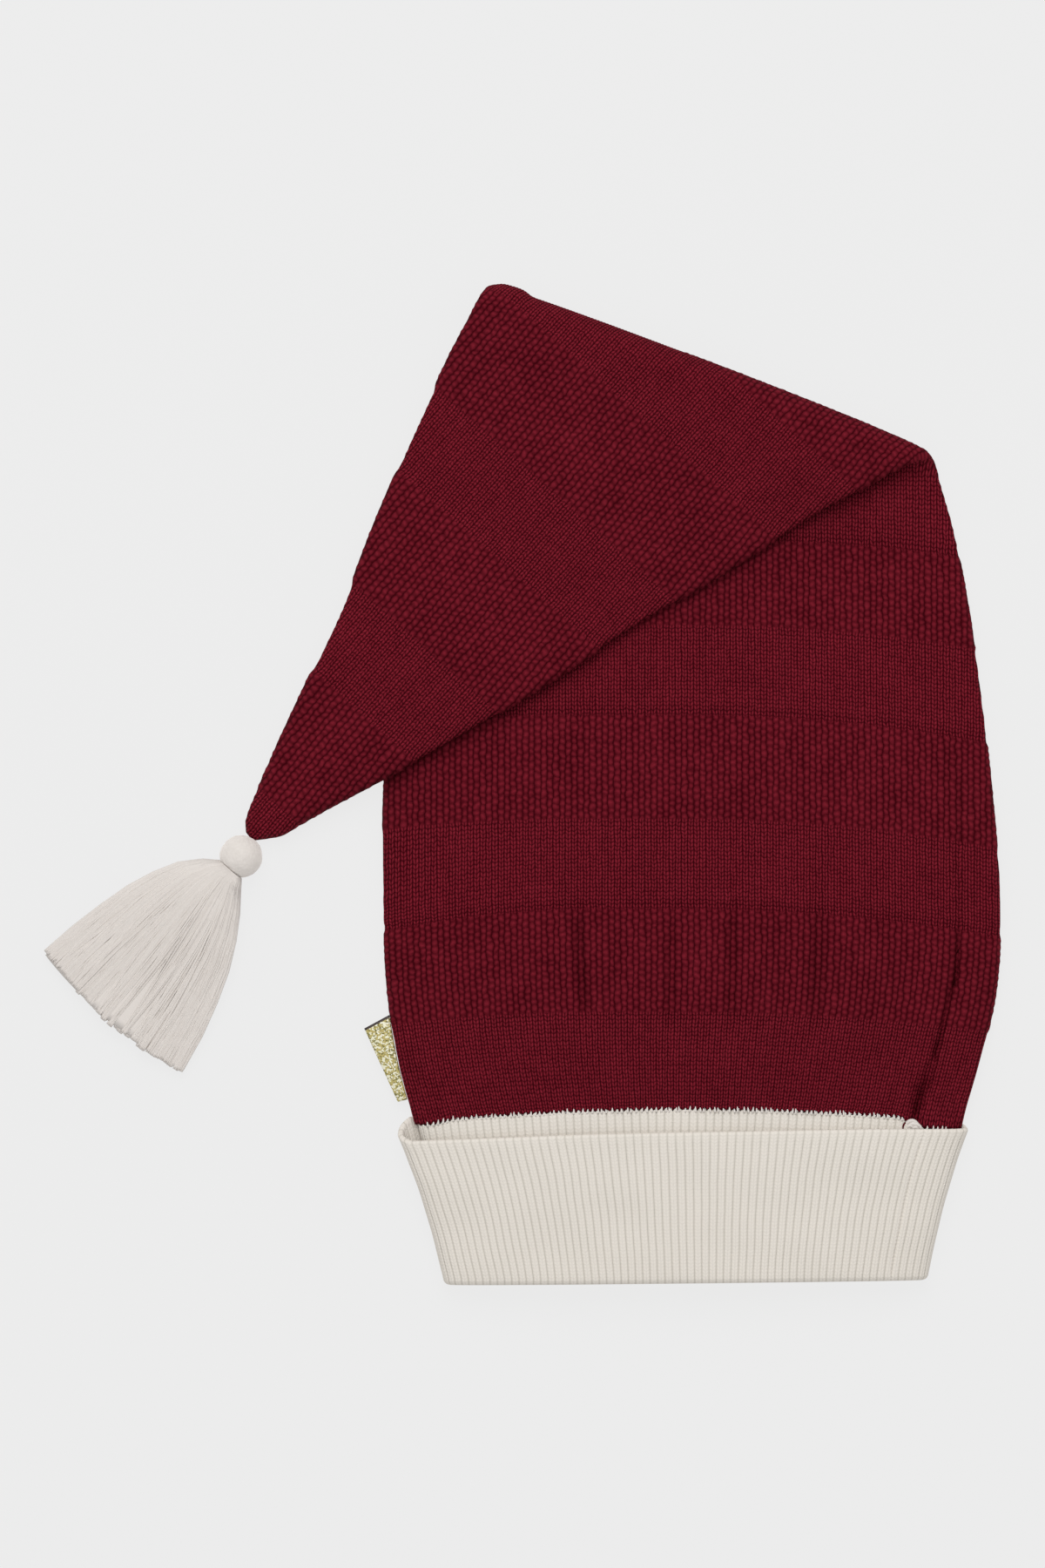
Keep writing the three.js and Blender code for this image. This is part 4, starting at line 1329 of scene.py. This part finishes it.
class Value:
    """A number or colour in a material's graph. Arithmetic on it makes nodes."""

    __add__ = __radd__ = operation("ADD")
    __sub__ = operation("SUBTRACT")
    __mul__ = __rmul__ = operation("MULTIPLY")
    __pow__ = operation("POWER")
    __abs__ = operation("ABSOLUTE")
    __gt__ = operation("GREATER_THAN")
    __lt__ = operation("LESS_THAN")
    fract = operation("FRACT")
    floor = operation("FLOOR")
    sine = operation("SINE")
    cosine = operation("COSINE")

    def __init__(self, graph, socket):
        self.graph = graph
        self.socket = socket

    def clipped(self):
        return self.graph.math("MINIMUM", self.graph.math("MAXIMUM", self, 0.0), 1.0)


class Graph:
    """A material's nodes, made by short calls."""

    def __init__(self, name):
        self.material = bpy.data.materials.new(name)
        self.material.use_nodes = True
        self.tree = self.material.node_tree
        self.shader = self.tree.nodes["Principled BSDF"]

    def feed(self, socket, value):
        if isinstance(value, Value):
            self.tree.links.new(value.socket, socket)
        else:
            socket.default_value = value

    def node(self, kind, inputs=None, **settings):
        node = self.tree.nodes.new(kind)
        for key, value in settings.items():
            setattr(node, key, value)
        for key, value in (inputs or {}).items():
            self.feed(node.inputs[key], value)
        return {socket.name: Value(self, socket) for socket in node.outputs if socket.enabled}

    def math(self, operation, *values):
        return self.node("ShaderNodeMath", dict(enumerate(values)), operation=operation)["Value"]

    def mix(self, factor, a, b):
        """A colour between two."""
        return self.node("ShaderNodeMix", {0: factor, 6: a, 7: b}, data_type="RGBA")["Result"]

    def blend(self, factor, a, b):
        """A number between two."""
        return self.node("ShaderNodeMix", {0: factor, 2: a, 3: b}, data_type="FLOAT")["Result"]

    def attribute(self, name):
        return self.node("ShaderNodeAttribute", attribute_name=name)["Fac"]

    def knit_uv(self):
        uv = self.node("ShaderNodeUVMap", uv_map="knit")["UV"]
        parts = self.node("ShaderNodeSeparateXYZ", {0: uv})
        return parts["X"], parts["Y"]

    def place(self):
        return self.node("ShaderNodeTexCoord")["Object"]

    def noise(self, scale, detail=2):
        inputs = {"Vector": self.place(), "Scale": scale, "Detail": detail}
        return self.node("ShaderNodeTexNoise", inputs)["Fac"]

    def bump(self, height, distance, strength):
        inputs = {"Height": height, "Distance": distance, "Strength": strength}
        return self.node("ShaderNodeBump", inputs)["Normal"]

    def set(self, **values):
        for name, value in values.items():
            self.feed(self.shader.inputs[name.replace("_", " ")], value)


# Painted heights of the stitches, which make their bumps and the painted light and shade of their crests and
# crevices
LEG_SLANT = 0.5
LEG_ACROSS_POWER = 0.7
LEG_ALONG_POWER = 0.6
LEG_JOIN = 0.35  # height left between two courses
LEG_FILL = 0.06  # how far the groove between a stitch's two legs is filled on the crown
LEG_CONTRAST = 1.4
LEG_MEAN = 0.58  # about the middle of the legs' heights, which the contrast leaves as it is
SEED_WAVE = 0.23


def leg_height(wale, course, fill):
    """Height of a plain stitch: two legs that lean apart, with the groove between them filled by a share."""
    apart = abs(wale.fract() - 0.5) * 2
    across = (math.pi * lerp(fill, 1, apart)).sine() ** LEG_ACROSS_POWER
    length = ((course - apart * LEG_SLANT).fract() * math.pi).sine() ** LEG_ALONG_POWER
    return across * lerp(LEG_JOIN, 1, length)


def seed_height(wale, course):
    """Height of seed stitch: bumps along each wale, two courses apart and halfway between its neighbours'."""
    ridge = (wale.fract() * math.pi).sine() ** RIDGE_POWER
    phase = course - 0.5 - wale.floor()
    return lerp(RIDGE_LEAST, 1, ridge) * lerp(1, (phase * math.pi).cosine(), SEED_WAVE)


def stitch_shade(g, wale, course, seed):
    """A share from 0 to 1 that is fixed for each leg of a plain stitch and each bump of seed stitch."""
    column = wale.floor()
    leg = (wale * 2).floor()
    bump = ((course + 0.5 - column) * 0.5).floor()
    cell = {0: g.blend(seed, leg, column), 1: g.blend(seed, course.floor(), bump)}
    vector = g.node("ShaderNodeCombineXYZ", cell)["Vector"]
    return g.node("ShaderNodeTexWhiteNoise", {"Vector": vector}, noise_dimensions="2D")["Value"]


# Red knit, with painted shade in the crevices between its stitches and painted light on their crests
# RED_DARK is the red in the crevices' painted shade and RED_LIGHT the red in the crests' painted light; the
# red thread mixes them by strand
RED_DARK = (0.042, 0.0005, 0.0030, 1)
RED_LIGHT = (0.253, 0.0163, 0.0312, 1)
RED_FUZZ = 0.45
PLAIN_MOTTLE = 0.22  # how much the shade differs from stitch to stitch
SEED_MOTTLE = 0.15
RED_CLOUD = 0.22
SEED_SHADE = -0.08  # what is added to the shade in seed stitch
# painted shade in the groove of the drawn-in courses above the seed bands
PAINTED_GROOVE_SHADE = -0.14
RED_GAIN = 0.8
RED_BASE = -0.237


def red_knit():
    g = Graph("red_knit")
    wale, course = g.knit_uv()
    seed = g.attribute("seed")
    legs = lerp(LEG_MEAN, leg_height(wale, course, LEG_FILL), LEG_CONTRAST)
    fuzz = (g.noise(scale=1900, detail=3) - 0.5) * RED_FUZZ
    height = g.blend(seed, legs, seed_height(wale, course)) + fuzz
    mottle = (stitch_shade(g, wale, course, seed) - 0.5) * g.blend(seed, PLAIN_MOTTLE, SEED_MOTTLE)
    # the stitches' heights paint shade into the crevices and light onto the crests; mottle and cloud are the
    # yarn's own uneven tone
    shade = height + mottle + g.noise(scale=60) * RED_CLOUD
    # painted shade in the groove of the drawn-in courses
    shade = shade + seed * SEED_SHADE + g.attribute("drawn") * PAINTED_GROOVE_SHADE
    colour = g.mix((shade * RED_GAIN + RED_BASE).clipped(), RED_DARK, RED_LIGHT)
    normal = g.bump(height, distance=0.0005, strength=0.8)
    g.set(Base_Color=colour, Roughness=0.92, Specular_IOR_Level=0.04, Normal=normal)
    return g.material


# Cream rib, with painted shade in the valleys between its ribs, painted light on their crests and legs, and
# the cross stitches of its seam
CREAM_DARK = (0.605, 0.565, 0.50, 1)
CREAM_LIGHT = (0.77, 0.72, 0.655, 1)
CREAM_FUZZ = 0.4
CREST_POWER = 0.5
LEG_LIGHT = 0.22
CREAM_CLOUD = 0.25
CREAM_BASE = -0.275
SEAM_NARROWING = 3.5
RUNG_PITCH = 1.2  # courses between the cross stitches
RUNG_LIGHT = 0.35
RUNG_WAVE = 0.3


def cream_rib():
    g = Graph("cream_rib")
    rib, course = g.knit_uv()
    wale = rib + 0.5
    legs = leg_height(wale, course, 0)
    height = legs + (g.noise(scale=1700, detail=3) - 0.5) * CREAM_FUZZ
    crest = (abs(wale.fract() - 0.5) * math.pi).cosine()
    # lighter on the crests and legs, darker in the valleys: painted light and shade, with the cloud as the
    # yarn's own uneven tone
    shade = crest**CREST_POWER + legs * LEG_LIGHT + g.noise(scale=45) * CREAM_CLOUD + CREAM_BASE
    on_seam = (abs(rib - SEAM_RIB) * -SEAM_NARROWING + 1).clipped()
    # the seam's cross stitches lift the valley's painted shade in bars
    rung = (course * (2 * math.pi / RUNG_PITCH)).sine() * RUNG_WAVE + RUNG_LIGHT
    colour = g.mix((shade + on_seam * rung).clipped(), CREAM_DARK, CREAM_LIGHT)
    normal = g.bump(height, distance=0.0003, strength=0.6)
    g.set(Base_Color=colour, Roughness=0.9, Specular_IOR_Level=0.12, Normal=normal)
    return g.material


# Yarn
YARN_DARK = (0.674, 0.626, 0.587, 1)
YARN_LIGHT = (0.774, 0.727, 0.688, 1)
STRAND_SHADE = 0.55
YARN_FUZZ = 0.4
TWIST_PITCH = 260.0
TWIST_OFFSET = 40.0
TWIST_HEIGHT = 0.3


def yarn(name, dark, light):
    g = Graph(name)
    strand = g.attribute("strand")
    fuzz = g.noise(scale=1500, detail=3)
    twist = (g.attribute("place") * TWIST_PITCH + strand * TWIST_OFFSET).sine()
    colour = g.mix(strand * STRAND_SHADE + fuzz * YARN_FUZZ, dark, light)
    normal = g.bump(twist * TWIST_HEIGHT + fuzz, distance=0.0001, strength=0.15)
    g.set(Base_Color=colour, Roughness=0.85, Specular_IOR_Level=0.12, Normal=normal)
    return g.material


# Felt of the ball
FELT_DARK = (0.62, 0.575, 0.535, 1)
FELT_LIGHT = (0.80, 0.755, 0.715, 1)
FELT_SHEEN = (0.95, 0.9, 0.86, 1)
FIBRE_SHARE = 0.6


def cream_felt():
    g = Graph("cream_felt")
    fibres = g.noise(scale=900, detail=4)
    colour = g.mix(g.blend(FIBRE_SHARE, g.noise(scale=160), fibres), FELT_DARK, FELT_LIGHT)
    normal = g.bump(fibres, distance=0.0004, strength=0.4)
    g.set(Base_Color=colour, Roughness=0.9, Specular_IOR_Level=0.12, Normal=normal)
    g.set(Sheen_Weight=1.0, Sheen_Roughness=0.5, Sheen_Tint=FELT_SHEEN)
    return g.material


# Gold weave, as flakes of three shades with a tint, and a dark hem at the top; the lightest flakes are
# painted glints of the glittering thread
FLAKE_SCALE = 1650.0
GOLD = (0.50, 0.40, 0.14, 1)
PAINTED_GLINT_GOLD = (0.93, 0.90, 0.74, 1)
GOLD_DARK = (0.17, 0.14, 0.04, 1)
GOLD_TINT = (0.62, 0.62, 0.24, 1)
GLINT_ABOVE = 0.62
DARK_BELOW = 0.22
TINT_SHARE = 0.3
HEM = (0.05, 0.035, 0.03, 1)
HEM_SHARE = 0.03


def gold_weave():
    g = Graph("gold_weave")
    inputs = {"Vector": g.place(), "Scale": FLAKE_SCALE, "Randomness": 1.0}
    flakes = g.node("ShaderNodeTexVoronoi", inputs)["Color"]
    chance = g.node("ShaderNodeSeparateColor", {0: flakes})
    # the lightest flakes are painted glints
    colour = g.mix(chance["Red"] > GLINT_ABOVE, GOLD, PAINTED_GLINT_GOLD)
    colour = g.mix(chance["Red"] < DARK_BELOW, colour, GOLD_DARK)
    colour = g.mix(chance["Green"] * TINT_SHARE, colour, GOLD_TINT)
    _, length = g.knit_uv()
    colour = g.mix(length < HEM_SHARE, colour, HEM)
    normal = g.bump(chance["Blue"], distance=0.0004, strength=0.7)
    g.set(Base_Color=colour, Metallic=0.35, Roughness=0.4, Normal=normal)
    return g.material


# Stage

FLOOR_SIZE = 6000
FLOOR_BELOW = 0.05
FLOOR_GREY = (0.055, 0.055, 0.055, 1)
FLOOR_GLOW = 0.784
WHITE = (1, 1, 1, 1)
WORLD_LIGHT = 0.655
KEY_PLACE = Vector((-0.1, 1.4, 2.3))
KEY_SIZE = 1.8
KEY_POWER = 38


def make_floor():
    corners = np.array([(-1, -1, 0), (1, -1, 0), (1, 1, 0), (-1, 1, 0)]) * FLOOR_SIZE / 2
    floor = mesh_object("floor", corners - (0, 0, FLOOR_BELOW), [[0, 1, 2, 3]])
    g = Graph("pale_floor")
    g.set(Base_Color=FLOOR_GREY, Roughness=0.95, Specular_IOR_Level=0.0)
    g.set(Emission_Color=WHITE, Emission_Strength=FLOOR_GLOW)
    floor.data.materials.append(g.material)


def light_scene():
    world = bpy.data.worlds.new("studio")
    world.use_nodes = True
    background = world.node_tree.nodes["Background"]
    background.inputs["Color"].default_value = WHITE
    background.inputs["Strength"].default_value = WORLD_LIGHT
    bpy.context.scene.world = world
    light = bpy.data.lights.new("key", "AREA")
    light.size = KEY_SIZE
    light.energy = KEY_POWER
    lamp = bpy.data.objects.new("key", light)
    lamp.location = KEY_PLACE
    lamp.rotation_euler = (-KEY_PLACE).to_track_quat("-Z", "Y").to_euler()
    bpy.context.scene.collection.objects.link(lamp)
    bpy.context.scene.view_settings.view_transform = "Standard"


# The photograph's frame: the camera looks straight down at the middle of the picture
PICTURE_WIDTH = 1200
PICTURE_HEIGHT = 1800
PIXEL = 0.36  # millimetres to a pixel at the hat
ORIGIN_PIXEL = (600, 897)
LENS = 200.0
SENSOR = 36.0
HAT_LEVEL = 8.0  # height at which the scale holds
CLIP_END = 50


def make_camera():
    x = (PICTURE_WIDTH / 2 - ORIGIN_PIXEL[0]) * PIXEL
    y = (ORIGIN_PIXEL[1] - PICTURE_HEIGHT / 2) * PIXEL
    distance = PICTURE_HEIGHT * PIXEL * LENS / SENSOR
    data = bpy.data.cameras.new("camera")
    data.lens = LENS
    data.sensor_fit = "VERTICAL"
    data.sensor_height = SENSOR
    data.clip_end = CLIP_END
    camera = bpy.data.objects.new("camera", data)
    camera.location = (np.array([x, y, HAT_LEVEL + distance]) + SHIFT) / 1000
    bpy.context.scene.collection.objects.link(camera)
    bpy.context.scene.camera = camera


make_floor()
light_scene()
make_camera()
crown = make_crown(red_knit())
cuff = make_cuff(cream_rib())
label = make_label(gold_weave())
cream = yarn("cream_yarn", YARN_DARK, YARN_LIGHT)
make_tassel(cream)
make_loops(cream)
make_knot(cream, yarn("red_yarn", RED_DARK, RED_LIGHT))
make_ball(cream_felt())
